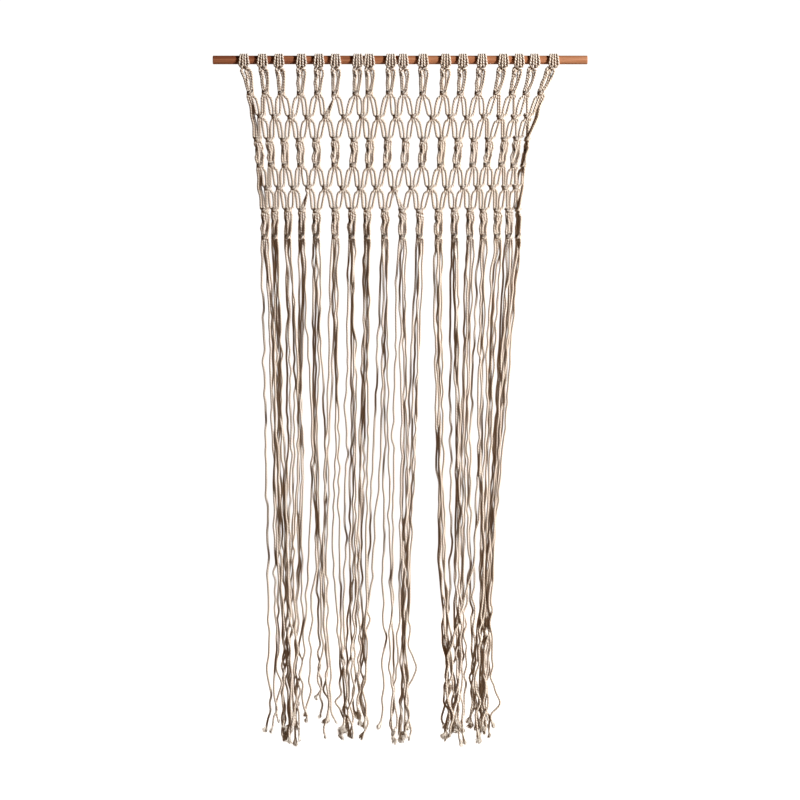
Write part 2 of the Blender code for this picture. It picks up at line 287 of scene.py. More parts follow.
# How far across a column's four cords leave its last knot, and the ways in which they go apart just below
# it, in millimetres.
LAST_SPREAD = (-8.0, -2.8, 3.0, 8.4)
STRING_STARTS = (
    (-9.2, -7.2, 0.4, 8.8),
    (-9.0, -0.8, 1.2, 9.0),
    (-9.2, -0.2, 7.4, 9.4),
    (-10.4, -4.6, 2.0, 8.6),
)
WAVES_ASIDE = (
    Wave(0.150, 0.0012, 0.0006, 0.0),
    Wave(0.030, 0.0018, 0.0008, 0.0026),
    Wave(0.070, 0.0, 0.0, 0.0036),
)
WAVES_FORWARD = Wave(0.100, 0.0034, 0.0006, 0.0)

# The layers that a loose cord tries in turn, and the heights between which the cord's thickness changes:
# from the loose cords to the knots, and from the knots to the rod.
LAYERS = (0, -1, 1, -2, 2, -3, 3, -4, 4)
THICKNESS_LEVELS_Z = (-0.560, -0.514, -0.022, -0.012)
ROD_SHARE = 0.80

# The lane that a cord takes below its first half knot.
FIRST_SWAP = {
    Lane.LEFT_WORKING: Lane.LEFT_WORKING,
    Lane.LEFT_FILLER: Lane.RIGHT_WORKING,
    Lane.RIGHT_FILLER: Lane.LEFT_FILLER,
    Lane.RIGHT_WORKING: Lane.RIGHT_FILLER,
}

# The four cords of a square knot, from its top to its bottom.
SQUARE_KNOT = {
    Lane.LEFT_WORKING: steps(
        (-7.4, 1.6, 5.0), (-6.2, -2.6, 1.8), (-2.0, -6.0, 0.6), (4.2, -4.2, 1.2), (7.6, 0.8, 1.2),
        (6.2, 5.8, -1.6), (0.0, 7.4, -3.4), (-6.0, 5.6, -1.8), (-7.8, 0.8, -2.6), (-7.6, 0.8, -6.0),
        (-8.4, 1.2, -10.0),
    ),
    Lane.LEFT_FILLER: steps(
        (-2.5, 1.6, 6.0), (-2.4, -1.4, 1.0), (-2.5, -1.4, -4.0), (-2.8, 1.2, -10.0),
    ),
    Lane.RIGHT_FILLER: steps(
        (2.5, 1.6, 6.0), (2.4, -1.4, 1.0), (2.5, -1.4, -4.0), (2.8, 1.2, -10.0),
    ),
    Lane.RIGHT_WORKING: steps(
        (7.4, 1.8, 5.0), (6.6, 4.0, 2.6), (2.4, 5.2, 1.8), (-2.6, 5.2, 1.4), (-7.0, 3.0, 1.2),
        (-8.0, -1.4, 0.0), (-5.2, -5.4, -2.6), (1.0, -6.2, -4.0), (6.2, -3.4, -4.4), (8.0, 0.6, -6.0),
        (8.6, 1.0, -10.0),
    ),
}

# How far a leg's two cords run from the line between its knots, on the side that the leg goes to, as pairs
# of a part of the way and millimetres: the cord that leaves the upper knot's end, and the one that leaves
# its middle.
LEG_OUTER = ((0.24, 9.2), (0.42, 7.8), (0.60, 5.2), (0.76, 2.0), (0.89, -1.6))
LEG_INNER = ((0.24, -3.0), (0.42, -5.2), (0.60, -7.8), (0.76, -10.0), (0.89, -11.4))

# Painted shade at the knots: creases and pits where the cords' colour is darkened under the lark's heads,
# across the knots and beside the runs, where shade falls.
HEAD_CREASE = Crease(-2.4, 0.036, 12.0, (Pit(-8.8, 6.0, 2.8), Pit(8.4, 5.8, 2.5, 0.9)))
GATHERED_PITS = (Pit(-7.8, 2.6, 3.6), Pit(4.6, 7.0, 2.8, 0.9), Pit(7.6, 3.0, 2.0, 0.7))
GATHERED_CREASE = Crease(1.4, 0.022, 8.2, GATHERED_PITS)
SPREAD_CREASE = Crease(2.4, 0.008, 12.0, (Pit(-10.8, 3.4, 3.3), Pit(10.4, 3.6, 2.2, 0.85)))
RUN_PIT = Pit(-8.4, -31.0, 3.4, tall=2.0)


def of_kind(items: Iterable[Any], kind: type) -> list[Any]:
    """Returns the items of one kind."""
    return [item for item in items if isinstance(item, kind)]


def spun(
    bm: bmesh.types.BMesh,
    geom: list[Any],
    angle: float,
    count: int,
    shift: Point,
    centre: Point = (0.0, 0.0, 0.0),
    axis: Point = (0.0, 0.0, 1.0),
) -> list[Any]:
    """Draws vertices and edges into walls, round an axis and along a shift.

    Args:
        bm: The mesh.
        geom: The vertices and edges.
        angle: The whole angle.
        count: How many steps there are.
        shift: How far each step moves.
        centre: A point of the axis.
        axis: The axis.

    Returns:
        The vertices and edges of the last step.
    """
    ends = bmesh.ops.spin(
        bm,
        geom=geom,
        cent=centre,
        axis=axis,
        dvec=shift,
        angle=angle,
        steps=count,
        use_merge=False,
        use_duplicate=False,
    )
    return ends["geom_last"]


def finished_mesh(bm: bmesh.types.BMesh, name: str) -> bpy.types.Mesh:
    """Turns a bmesh into a mesh.

    Args:
        bm: The bmesh, which is used up.
        name: The mesh's name.

    Returns:
        The mesh.
    """
    mesh = bpy.data.meshes.new(name)
    bm.to_mesh(mesh)
    bm.free()
    return mesh


def placed(name: str, data: bpy.types.ID) -> bpy.types.Object:
    """Puts a new object into the scene.

    Args:
        name: Its name.
        data: Its mesh, lamp or camera.

    Returns:
        The object.
    """
    made = bpy.data.objects.new(name, data)
    bpy.context.scene.collection.objects.link(made)
    return made


def cord_layers(bm: bmesh.types.BMesh) -> tuple[Any, Any, Any]:
    """Adds layers for each point's place in the straight cord, its depth in the knots' painted shade and
    its tone.
    """
    layers = bm.verts.layers
    return layers.float_vector.new("straight"), layers.float.new("depth"), layers.float.new("tone")


@dataclass(frozen=True)
class CottonCord:
    """The three-ply cord that everything is knotted from."""

    crown: float = 0.0044
    groove: float = 0.0038
    sides: int = 6
    plies: int = 3
    lay: float = 0.0235
    ring_gap: float = 0.00240
    first_rings: int = 20
    join_share: float = 0.01

    def turn(self, length: float) -> float:
        """Returns the angle by which the plies turn over a length."""
        return -math.tau * length / self.lay

    def twist(self, bm: bmesh.types.BMesh, length: float, verts: Any) -> None:
        """Turns points round the cord's middle line, as far as the plies turn over a length."""
        matrix = Matrix.Rotation(self.turn(length), 3, "Z")
        bmesh.ops.rotate(bm, cent=(0.0, 0.0, 0.0), matrix=matrix, verts=verts)

    def long_length(self, longest: float) -> bpy.types.Mesh:
        """Makes an open, straight length of the cord, which every other length is cut from.

        Args:
            longest: The least that its length may be.

        Returns:
            Its mesh, which runs down from the origin.
        """
        bm = bmesh.new()
        ring = bmesh.ops.create_circle(bm, segments=self.sides, radius=self.crown, cap_ends=False)["verts"]
        shrink = self.groove / self.crown
        bmesh.ops.scale(bm, vec=(shrink, shrink, 1.0), verts=ring[1::2])
        length = self.first_rings * self.ring_gap
        spun(bm, [*ring, *bm.edges], self.turn(length), self.first_rings, (0.0, 0.0, -self.ring_gap))
        while length < longest:
            more = bmesh.ops.duplicate(bm, geom=[*bm.verts, *bm.edges, *bm.faces])["geom"]
            verts = of_kind(more, bmesh.types.BMVert)
            self.twist(bm, length, verts)
            bmesh.ops.translate(bm, vec=(0.0, 0.0, -length), verts=verts)
            bmesh.ops.remove_doubles(bm, verts=bm.verts, dist=self.ring_gap * self.join_share)
            length *= 2
        return finished_mesh(bm, "long_length")

    def straight(self, long_length: bpy.types.Mesh, length: float, start: float) -> bmesh.types.BMesh:
        """Cuts a straight length of the cord, which runs down from the origin.

        Args:
            long_length: What it is cut from.
            length: How long it is.
            start: How far along the whole cord it begins, which sets how the plies are turned there.

        Returns:
            A closed mesh of twisted plies with the cord's layers.
        """
        bm = bmesh.new()
        bm.from_mesh(long_length)
        rings = max(1, round(length / self.ring_gap))
        below = [vert for vert in bm.verts if vert.co.z < -(rings + 0.5) * self.ring_gap]
        bmesh.ops.delete(bm, geom=below, context="VERTS")
        self.twist(bm, start, bm.verts)
        straight, _, _ = cord_layers(bm)
        for vert in bm.verts:
            vert[straight] = Vector((vert.co.x, vert.co.y, start - vert.co.z))
        bmesh.ops.scale(bm, vec=(1.0, 1.0, length / (rings * self.ring_gap)), verts=bm.verts)
        bmesh.ops.holes_fill(bm, edges=bm.edges, sides=self.sides)
        bmesh.ops.recalc_face_normals(bm, faces=bm.faces)
        return bm


class Course:
    """A smooth course through points, with a frame carried along it without turning."""

    def __init__(self, points: list[Point], parts: int = 4) -> None:
        """Draws the course.

        Args:
            points: The points that it passes, in metres.
            parts: How many parts the curve between two points is drawn in.
        """
        self.places = self._curve(np.array(points, float), parts)
        lengths = np.linalg.norm(np.diff(self.places, axis=0), axis=1)
        self.along = np.concatenate(([0.0], np.cumsum(lengths)))
        self.tangents = np.gradient(self.places, self.along, axis=0)
        self.tangents /= np.linalg.norm(self.tangents, axis=1)[:, None]
        self.sides = self._carry()
        self.fronts = np.cross(self.tangents, self.sides)

    @property
    def length(self) -> float:
        """The course's length."""
        return float(self.along[-1])

    @staticmethod
    def _curve(points: np.ndarray, parts: int) -> np.ndarray:
        """Draws a centripetal curve.

        Args:
            points: The points that it passes.
            parts: How many parts it has between two of them.

        Returns:
            The curve's points.
        """
        ends = np.vstack([2 * points[0] - points[1], points, 2 * points[-1] - points[-2]])
        p0, p1, p2, p3 = (piece[:, None, :] for piece in (ends[:-3], ends[1:-2], ends[2:-1], ends[3:]))
        least = 1e-4

        def gap(start: np.ndarray, end: np.ndarray) -> np.ndarray:
            """The knot interval between two points."""
            return np.maximum(np.linalg.norm(end - start, axis=2, keepdims=True) ** 0.5, least)

        t1 = gap(p0, p1)
        t2 = t1 + gap(p1, p2)
        t3 = t2 + gap(p2, p3)
        t = t1 + (t2 - t1) * np.linspace(0.0, 1.0, parts, endpoint=False)[None, :, None]
        a1 = (t1 - t) / t1 * p0 + t / t1 * p1
        a2 = (t2 - t) / (t2 - t1) * p1 + (t - t1) / (t2 - t1) * p2
        a3 = (t3 - t) / (t3 - t2) * p2 + (t - t2) / (t3 - t2) * p3
        b1 = (t2 - t) / t2 * a1 + t / t2 * a2
        b2 = (t3 - t) / (t3 - t1) * a2 + (t - t1) / (t3 - t1) * a3
        curve = (t2 - t) / (t2 - t1) * b1 + (t - t1) / (t2 - t1) * b2
        return np.vstack([curve.reshape(-1, 3), points[-1]])

    def _carry(self) -> np.ndarray:
        """Returns the side direction at every place, carried from the first one."""
        tangents = [Vector(tangent) for tangent in self.tangents]
        side = tangents[0].orthogonal().normalized()
        sides = [side]
        for before, after in zip(tangents, tangents[1:]):
            side = before.rotation_difference(after) @ side
            side = (side - after * side.dot(after)).normalized()
            sides.append(side)
        return np.array(sides)

    def at(self, along: np.ndarray, table: np.ndarray) -> np.ndarray:
        """Returns a table's values at lengths along the course."""
        return np.stack([np.interp(along, self.along, table[:, axis]) for axis in range(3)], axis=-1)

    def lay(self, bm: bmesh.types.BMesh, start: float, loose_share: float = 1.0) -> None:
        """Bends a straight length, which runs down from the origin, along the course.

        Args:
            bm: The straight length.
            start: How far along the course it begins.
            loose_share: How thick it is below the knots, against its thickness in them.
        """
        straight = np.array([vert.co for vert in bm.verts])
        along = start - straight[:, 2]
        laid = self.at(along, self.places)
        thick = np.interp(laid[:, 2:], THICKNESS_LEVELS_Z, (loose_share, 1.0, 1.0, ROD_SHARE))
        laid += straight[:, :1] * self.at(along, self.sides) * thick
        laid += straight[:, 1:2] * self.at(along, self.fronts) * thick
        for vert, place in zip(bm.verts, laid):
            vert.co = place

    def frame_at(self, along: float) -> Matrix:
        """Finds the course's frame.

        Args:
            along: How far along the course.

        Returns:
            The frame there, with its Z axis back along the course.
        """
        where = np.array([along])
        tables = (self.places, self.sides, self.tangents)
        place, side, tangent = (Vector(self.at(where, table)[0]) for table in tables)
        tangent.normalize()
        side = (side - tangent * side.dot(tangent)).normalized()
        front = (-tangent).cross(side)
        return Matrix.Translation(place) @ Matrix((side, front, -tangent)).transposed().to_4x4()


@dataclass(frozen=True)
class Knot:
    """A knot's place and turn."""

    x: float
    z: float
    turn: float = 0.0

    def point(self, step: Step) -> Point:
        """Finds a point beside the knot.

        Args:
            step: Where it is from the knot's middle.

        Returns:
            The point, in metres.
        """
        across, forward = step.across * MM, step.forward * MM
        return (
            self.x + across * math.cos(self.turn) + forward * math.sin(self.turn),
            across * math.sin(self.turn) - forward * math.cos(self.turn),
            self.z + step.up * MM,
        )

    def toward(self, other: "Knot", part: float) -> "Knot":
        """Finds a place on the way to another knot.

        Args:
            other: The other knot.
            part: The part of the way.

        Returns:
            The place, turned by that part too.
        """
        return Knot(
            self.x + (other.x - self.x) * part,
            self.z + (other.z - self.z) * part,
            self.turn + (other.turn - self.turn) * part,
        )


@dataclass(frozen=True)
class LarksHead:
    """A cord's fold over the rod, in millimetres from the rod's middle.

    Its bar lies in front. The parts are of the way round the rod, from the front's foot to the back's.
    """

    radius: float = 15.2
    bar: float = 7.6
    outer: float = 12.8
    inner: float = 3.8
    top_gap: float = 5.8
    back_gap: float = 5.6
    lean: float = 1.2
    front_part: float = 0.42
    back_part: float = 0.60
    degrees: tuple[float, ...] = (-30.0, 0.0, 30.0, 62.0, 94.0, 126.0, 158.0, 190.0, 222.0)

    def course(self, lane: Lane, chance: random.Random) -> tuple[Step, ...]:
        """Leads a cord from the middle of its bar, over the rod and down behind the bar.

        Args:
            lane: The cord's lane.
            chance: The source of randomness.

        Returns:
            The cord's steps from the rod's middle.
        """
        across = lane - 1.5
        lean = chance.uniform(-self.lean, self.lean)
        top = across * self.top_gap + lean * 0.4
        bottom = math.copysign(self.outer if lane.works else self.inner, across) + lean * 0.5
        middle = lane.side * self.bar
        places = [
            (middle, 8.6, -20.6),
            ((middle + bottom) / 2, 9.4, -18.6 if lane.works else -20.2),
            (bottom, 11.4, -14.2),
        ]
        first, last = self.degrees[0], self.degrees[-1]
        for degrees in self.degrees:
            part = (degrees - first) / (last - first)
            x = top + (bottom - top) * max(0.0, 1.0 - part / self.front_part)
            if part >= self.back_part:
                x = top + (across * self.back_gap - top) * (part - self.back_part) / (1.0 - self.back_part)
            angle = math.radians(degrees)
            places.append((x, self.radius * math.cos(angle), self.radius * math.sin(angle)))
        return steps(*places, (across * 5.2, -5.5, -15.8), (across * 4.6, 0.5, -20.5))


@dataclass
class Knotwork:
    """The knotted net: where its knots are, and how the cords run through them.

    The fields in metres place knots and keep cords apart. Those whose names end in _mm are for Steps.
    """

    head: LarksHead = field(default_factory=LarksHead)
    rise: float = 0.0018
    sway: float = 0.0010
    last_turn_deg: float = -70.0
    last_knot_turn: float = 0.5
    lean_turn_deg: float = 17.0
    last_z: float = -0.5100
    tips_z: tuple[float, float] = (-1.9800, -1.9250)
    short_tip: tuple[int, Lane, float] = (4, Lane.LEFT_FILLER, -1.8850)
    # Heights that place the painted shade of each lark's head: its crease, and the pit in the run below it.
    head_crease_z: float = -0.0205
    head_pit_z: float = -0.0140
    first_apart_mm: float = 3.5
    run_turn_deg: tuple[float, float] = (-6.0, 4.0)
    turned_run_deg: tuple[float, float] = (2.0, 9.0)
    turn_over_mm: float = 20.0
    slit_mm: tuple[float, float] = (2.6, 3.8)
    wander_mm: tuple[float, float] = (0.9, 0.8)
    leg_widen: float = 1.50
    widen_from_mm: float = 1.0
    widen_over_mm: float = 4.0
    leg_wide_mm: tuple[float, float] = (-1.6, 0.9)
    leg_forward_mm: float = 1.0
    twist_mm: tuple[float, float] = (3.4, 3.2)
    twist_aside_mm: float = -1.5
    own_half: float = 0.0033
    meeting_half: float = 0.0022
    closed_legs: tuple[tuple[int, int, Side], ...] = (
        (0, 5, Side.LEFT),
        (4, 3, Side.RIGHT),
        (4, 9, Side.LEFT),
    )
    edge_reach: dict[Side, float] = field(default_factory=lambda: {Side.LEFT: 0.0250, Side.RIGHT: 0.0240})
    low_right_reach: float = 0.0135
    second_ties_z: float = -0.300
    edge_parts: tuple[float, ...] = (0.30, 0.5, 0.70)
    edge_pair_mm: float = 3.4
    edge_behind_mm: float = 4.0

    def __post_init__(self) -> None:
        """Places the knots of every row and the cords' tips."""
        sway = random.Random(Seed.ROWS)
        self.rows: list[list[Knot]] = []
        for row in ROWS:
            middles = [self.column_x(column, row.way) for column in COLUMNS]
            if row.ties:
                middles = [(left + right) / 2 for left, right in zip(middles, middles[1:])]
            knots = []
            for x in middles:
                z = row.z + sway.uniform(-self.rise, self.rise)
                knots.append(Knot(x + sway.uniform(-self.sway, self.sway), z))
            if row.way >= 1.0 and not row.ties:
                knots[-1] = Knot(knots[-1].x, knots[-1].z, math.radians(self.last_turn_deg))
            self.rows.append(knots)
        chance = random.Random(Seed.LAST_KNOTS)
        self.last_knots: list[Knot] = []
        self.tips: list[list[float]] = []
        for column, foot in zip(COLUMNS, self.rows[-1]):
            z = self.last_z + chance.uniform(-self.rise, self.rise)
            turn = foot.turn * self.last_knot_turn - math.radians(self.lean_turn_deg) * column.lean
            self.last_knots.append(Knot(foot.x, z, turn))
            self.tips.append([chance.uniform(*self.tips_z) for _ in Lane])
        short_column, short_lane, short_z = self.short_tip
        self.tips[short_column][short_lane] = short_z
        self.head_chance = random.Random(Seed.HEADS)

    @staticmethod
    def column_x(column: Column, way: float) -> float:
        """Finds where a column is.

        Args:
            column: The column.
            way: The part of the way from the rod (0) past the waist (1) to the foot (2).

        Returns:
            Its place along the rod, in metres.
        """
        if way <= 1.0:
            return (column.head + (column.waist - column.head) * way) * MM
        return (column.waist + (column.foot - column.waist) * (way - 1.0)) * MM

    def first_run(self, column: int, lane: Lane) -> list[Point]:
        """Leads a cord from its lark's head to the collar: a loose half knot and a straight run.

        Args:
            column: The column.
            lane: The cord's lane in the lark's head.

        Returns:
            The points between the two knots.
        """
        head = Knot(COLUMNS[column].head * MM, 0.0)
        knot = self.rows[0][column]
        sway = random.Random(Seed.FIRST_RUNS + column)
        wide = sway.uniform(-1.5, 1.5)
        hole = sway.uniform(-1.8, 1.8)
        low = sway.uniform(-4.0, 4.0)
        apart = self.first_apart_mm if column == 0 else 0.0
        courses = {
            Lane.LEFT_WORKING: steps(
                (-9.4, 3.0, -23.0), (-10.6 - apart, 2.4, -31.0), (-9.4 - apart * 0.8, 1.4, -41.0),
                (-8.0 - apart * 0.4, 0.8, -53.0), (-8.8 + hole, 0.5, -67.0), (-7.6, 0.8, -80.0),
            ),
            Lane.LEFT_FILLER: steps(
                (-0.5, 4.8, -25.0), (5.6, 6.0, -24.6), (11.0 + wide * 0.5, 4.4, -28.6),
                (13.4 + wide, 2.8, -37.0), (13.0 + wide, 1.8, -47.0), (11.2, 1.2, -61.0 + low),
                (8.8, 1.0, -78.0),
            ),
            Lane.RIGHT_FILLER: steps(
                (0.5, -0.5, -26.0), (-6.2 + apart, 4.2, -35.0), (-3.2 + apart, 1.2, -46.0),
                (-4.6 + hole + apart * 0.4, 1.6, -61.0), (-3.4, 1.2, -78.0),
            ),
            Lane.RIGHT_WORKING: steps(
                (6.6, -2.4, -24.0), (3.2, -0.6, -31.0), (5.4 + hole, 0.6, -43.0),
                (7.0 + hole, 0.4, -59.0 + low), (4.6, 0.6, -78.0),
            ),
        }
        points = []
        for step in courses[lane]:
            part = -step.up * MM / -knot.z
            points.append(Knot(head.x + (knot.x - head.x) * part, 0.0).point(step))
        return points

    def crease_depth(self, column: int, places: np.ndarray) -> np.ndarray:
        """Returns how deep places lie in the painted shade of a column's knots: their creases and pits.

        Args:
            column: The column.
            places: The places, one a row.

        Returns:
            A depth from 0 to 1 for each place.
        """
        head_x = COLUMNS[column].head * MM
        marks: list[tuple[Knot, Crease | Pit]] = [
            (Knot(head_x, self.head_crease_z), HEAD_CREASE),
            (Knot(head_x, self.head_pit_z), RUN_PIT),
            (self.last_knots[column], GATHERED_CREASE),
        ]
        for row, knots in zip(ROWS, self.rows):
            if row.ties:
                beside = (knots[max(0, column - 1)], knots[min(column, len(knots) - 1)])
                marks += [(knot, SPREAD_CREASE) for knot in beside]
            elif row.below_ties:
                marks += [(knots[column], SPREAD_CREASE), (knots[column], RUN_PIT)]
            else:
                marks.append((knots[column], GATHERED_CREASE))
        depth = np.zeros(len(places))
        for knot, mark in marks:
            across, up = (places[:, 0] - knot.x) / MM, (places[:, 2] - knot.z) / MM
            depth = np.maximum(depth, mark.depth(across, up))
        return depth

    def square_knot(self, knot: Knot, lane: Lane, widen: float = 1.0) -> list[Point]:
        """Returns a cord's course through a square knot.

        Args:
            knot: The knot.
            lane: The cord's lane in it.
            widen: How much wider apart its cords come in from above.

        Returns:
            The points through the knot.
        """
        points = []
        for step in SQUARE_KNOT[lane]:
            share = min(1.0, max(0.0, (step.up - self.widen_from_mm) / self.widen_over_mm))
            points.append(knot.point(step._replace(across=step.across * (1.0 + (widen - 1.0) * share))))
        return points

    def run(self, upper: Knot, lower: Knot, lane: Lane, number: int) -> list[Point]:
        """Returns a cord's course between two knots of one column: a loose half knot, and two open pairs.

        Args:
            upper: The knot above.
            lower: The knot below.
            lane: The cord's lane.
            number: The run's number.

        Returns:
            The points between the two knots.
        """
        sway = random.Random(Seed.RUNS + number)
        wide = sway.uniform(-0.8, 1.0)
        middle = sway.uniform(-0.8, 0.8)
        slit = sway.uniform(*self.slit_mm) if number in SLIT_RUNS else 0.0
        left, right = middle - 0.6 * slit, middle + 0.5 * slit
        degrees = self.turned_run_deg if number in TURNED_RUNS else self.run_turn_deg
        turn = math.radians(sway.uniform(*degrees))
        courses = {
            Lane.LEFT_WORKING: steps(
                (-8.8 - wide, 0.6, -15.5), (-7.4 - wide, 0.2, -24.0), (-6.6, 0.4, -32.0),
                (left - 7.6, 1.6, -43.0), (left - 8.8, 1.8, -52.0), (left - 8.0, 1.6, -61.0),
            ),
            Lane.LEFT_FILLER: steps(
                (-2.8, 3.0, -17.0), (-2.6, 3.4, -26.0), (-1.0, 3.0, -34.0), (left - 2.4, 2.6, -45.0),
                (left - 2.4, 1.2, -60.0),
            ),
            Lane.RIGHT_FILLER: steps(
                (2.8, 2.4, -16.5), (3.6, 1.8, -24.0), (4.4, -0.6, -33.0), (right + 3.0, -1.6, -46.0),
                (right + 2.2, -1.2, -60.0),
            ),
            Lane.RIGHT_WORKING: steps(
                (9.2 + wide, -0.4, -15.0), (10.4 + wide, -0.8, -23.0), (9.6 + wide, -0.6, -33.0),
                (right + 8.4, 0.4, -46.0), (right + 8.0, 0.8, -59.0),
            ),
        }
        length = (upper.z - lower.z) / MM
        points = []
        for step in courses[lane]:
            across = step.across + sway.gauss(0.0, self.wander_mm[0])
            forward = step.forward + sway.gauss(0.0, self.wander_mm[1])
            turned = min(1.0, -step.up / self.turn_over_mm, (length + step.up) / self.turn_over_mm) * turn
            aside = across * math.cos(turned) - forward * math.sin(turned)
            ahead = across * math.sin(turned) + forward * math.cos(turned)
            points.append(upper.toward(lower, -step.up / length).point(Step(aside, ahead, 0.0)))
        return points

    def leg(self, upper: Knot, lower: Knot, lane: Lane, closed: bool, number: int) -> list[Point]:
        """Returns a cord's course between a column's knot and a tie, beside the other cord of its pair.

        Args:
            upper: The knot that the pair leaves.
            lower: The knot that the pair goes to.
            lane: The cord's lane in the upper knot.
            closed: Whether the pair is twisted together and not parted.
            number: The leg's own number, which sets how it differs from the others.

        Returns:
            The points between the two knots.
        """
        wide = random.Random(Seed.LEGS + number).uniform(*self.leg_wide_mm)
        reach = abs(lower.x - upper.x)
        out = 1 if lane.works else -1
        points = []
        for part, offset in LEG_OUTER if lane.works else LEG_INNER:
            offset += wide * math.sin(math.pi * part) * out
            forward = self.leg_forward_mm
            if closed:
                angle = math.tau * (0.1 + 0.5 * part)
                offset = self.twist_mm[0] * out * math.cos(angle) + self.twist_aside_mm
                forward += self.twist_mm[1] * out * math.sin(angle)
            if lane.works:
                most = reach * (1.0 - part) - self.meeting_half
                offset = min(offset, max(most / MM, -1.0))
            else:
                offset = max(offset, (self.own_half - reach * part) / MM)
            points.append(upper.toward(lower, part).point(Step(lane.side * offset, forward, 0.0)))
        return points

    def edge(self, upper: Knot, tie: Knot, lower: Knot, lane: Lane) -> list[Point]:
        """Leads a cord past the last tie of a row, at the net's edge.

        Args:
            upper: The knot that the cord leaves.
            tie: The last tie.
            lower: The knot that it goes to.
            lane: The cord's lane.

        Returns:
            The points between the two knots.
        """
        place_in_pair = -1 if lane in (Lane.LEFT_WORKING, Lane.RIGHT_FILLER) else 1
        middle = upper.toward(lower, 0.5)
        low_right = lane.side is Side.RIGHT and tie.z < self.second_ties_z
        reach = self.low_right_reach if low_right else self.edge_reach[lane.side]
        passing = Knot(tie.x + lane.side * reach, middle.z, middle.turn)
        points = []
        for part in self.edge_parts:
            near, share = (upper, part / 0.5) if part <= 0.5 else (lower, (1.0 - part) / 0.5)
            here = near.toward(passing, share)
            here = Knot(here.x, upper.toward(lower, part).z, here.turn)
            across = place_in_pair * self.edge_pair_mm
            points.append(here.point(Step(across, -self.edge_behind_mm * share, 0.0)))
        return points

    def diamonds(self, column: int, lane: Lane, uppers: int) -> list[Point]:
        """Leads a cord from a row on the columns through the ties to the next row on the columns.

        Args:
            column: The column.
            lane: The cord's lane.
            uppers: The number of the row that it leaves.

        Returns:
            The points between the two rows.
        """
        upper, lower = self.rows[uppers][column], self.rows[uppers + 2][column]
        ties = self.rows[uppers + 1]
        index = column - 1 if lane.side is Side.LEFT else column
        if not 0 <= index < len(ties):
            return self.edge(upper, ties[max(0, min(index, len(ties) - 1))], lower, lane)
        tie = ties[index]
        other = Lane((lane + 2) % len(Lane))
        closed = (uppers, column, lane.side) in self.closed_legs
        closed_below = (uppers + 1, column, lane.side) in self.closed_legs
        number = (uppers * len(COLUMNS) + column) * 4 + 2 * (lane.side is Side.RIGHT)
        return [
            *self.leg(upper, tie, lane, closed, number),
            *self.square_knot(tie, other, self.leg_widen),
            *self.leg(tie, lower, other, closed_below, number + 1),
        ]

    def net_course(self, column: int, lane: Lane) -> list[Point]:
        """Leads a cord through the net, from the middle of its fold to below its last knot.

        Args:
            column: The column.
            lane: The cord's lane in its lark's head.

        Returns:
            The points of its course.
        """
        fold = Knot(COLUMNS[column].head * MM, 0.0)
        points = [fold.point(step) for step in self.head.course(lane, self.head_chance)]
        points += self.first_run(column, lane)
        lane = FIRST_SWAP[lane]
        own = {row.name: knots[column] for row, knots in zip(ROWS, self.rows) if not row.ties}
        waist, hips, foot, last = own["waist"], own["hips"], own["foot"], self.last_knots[column]
        points += self.square_knot(own["collar"], lane) + self.diamonds(column, lane, 0)
        points += self.square_knot(waist, lane, self.leg_widen) + self.run(waist, hips, lane, column)
        points += self.square_knot(hips, lane) + self.diamonds(column, lane, 3)
        points += self.square_knot(foot, lane, self.leg_widen)
        points += self.run(foot, last, lane, LAST_RUNS + column) + self.square_knot(last, lane)
        return points


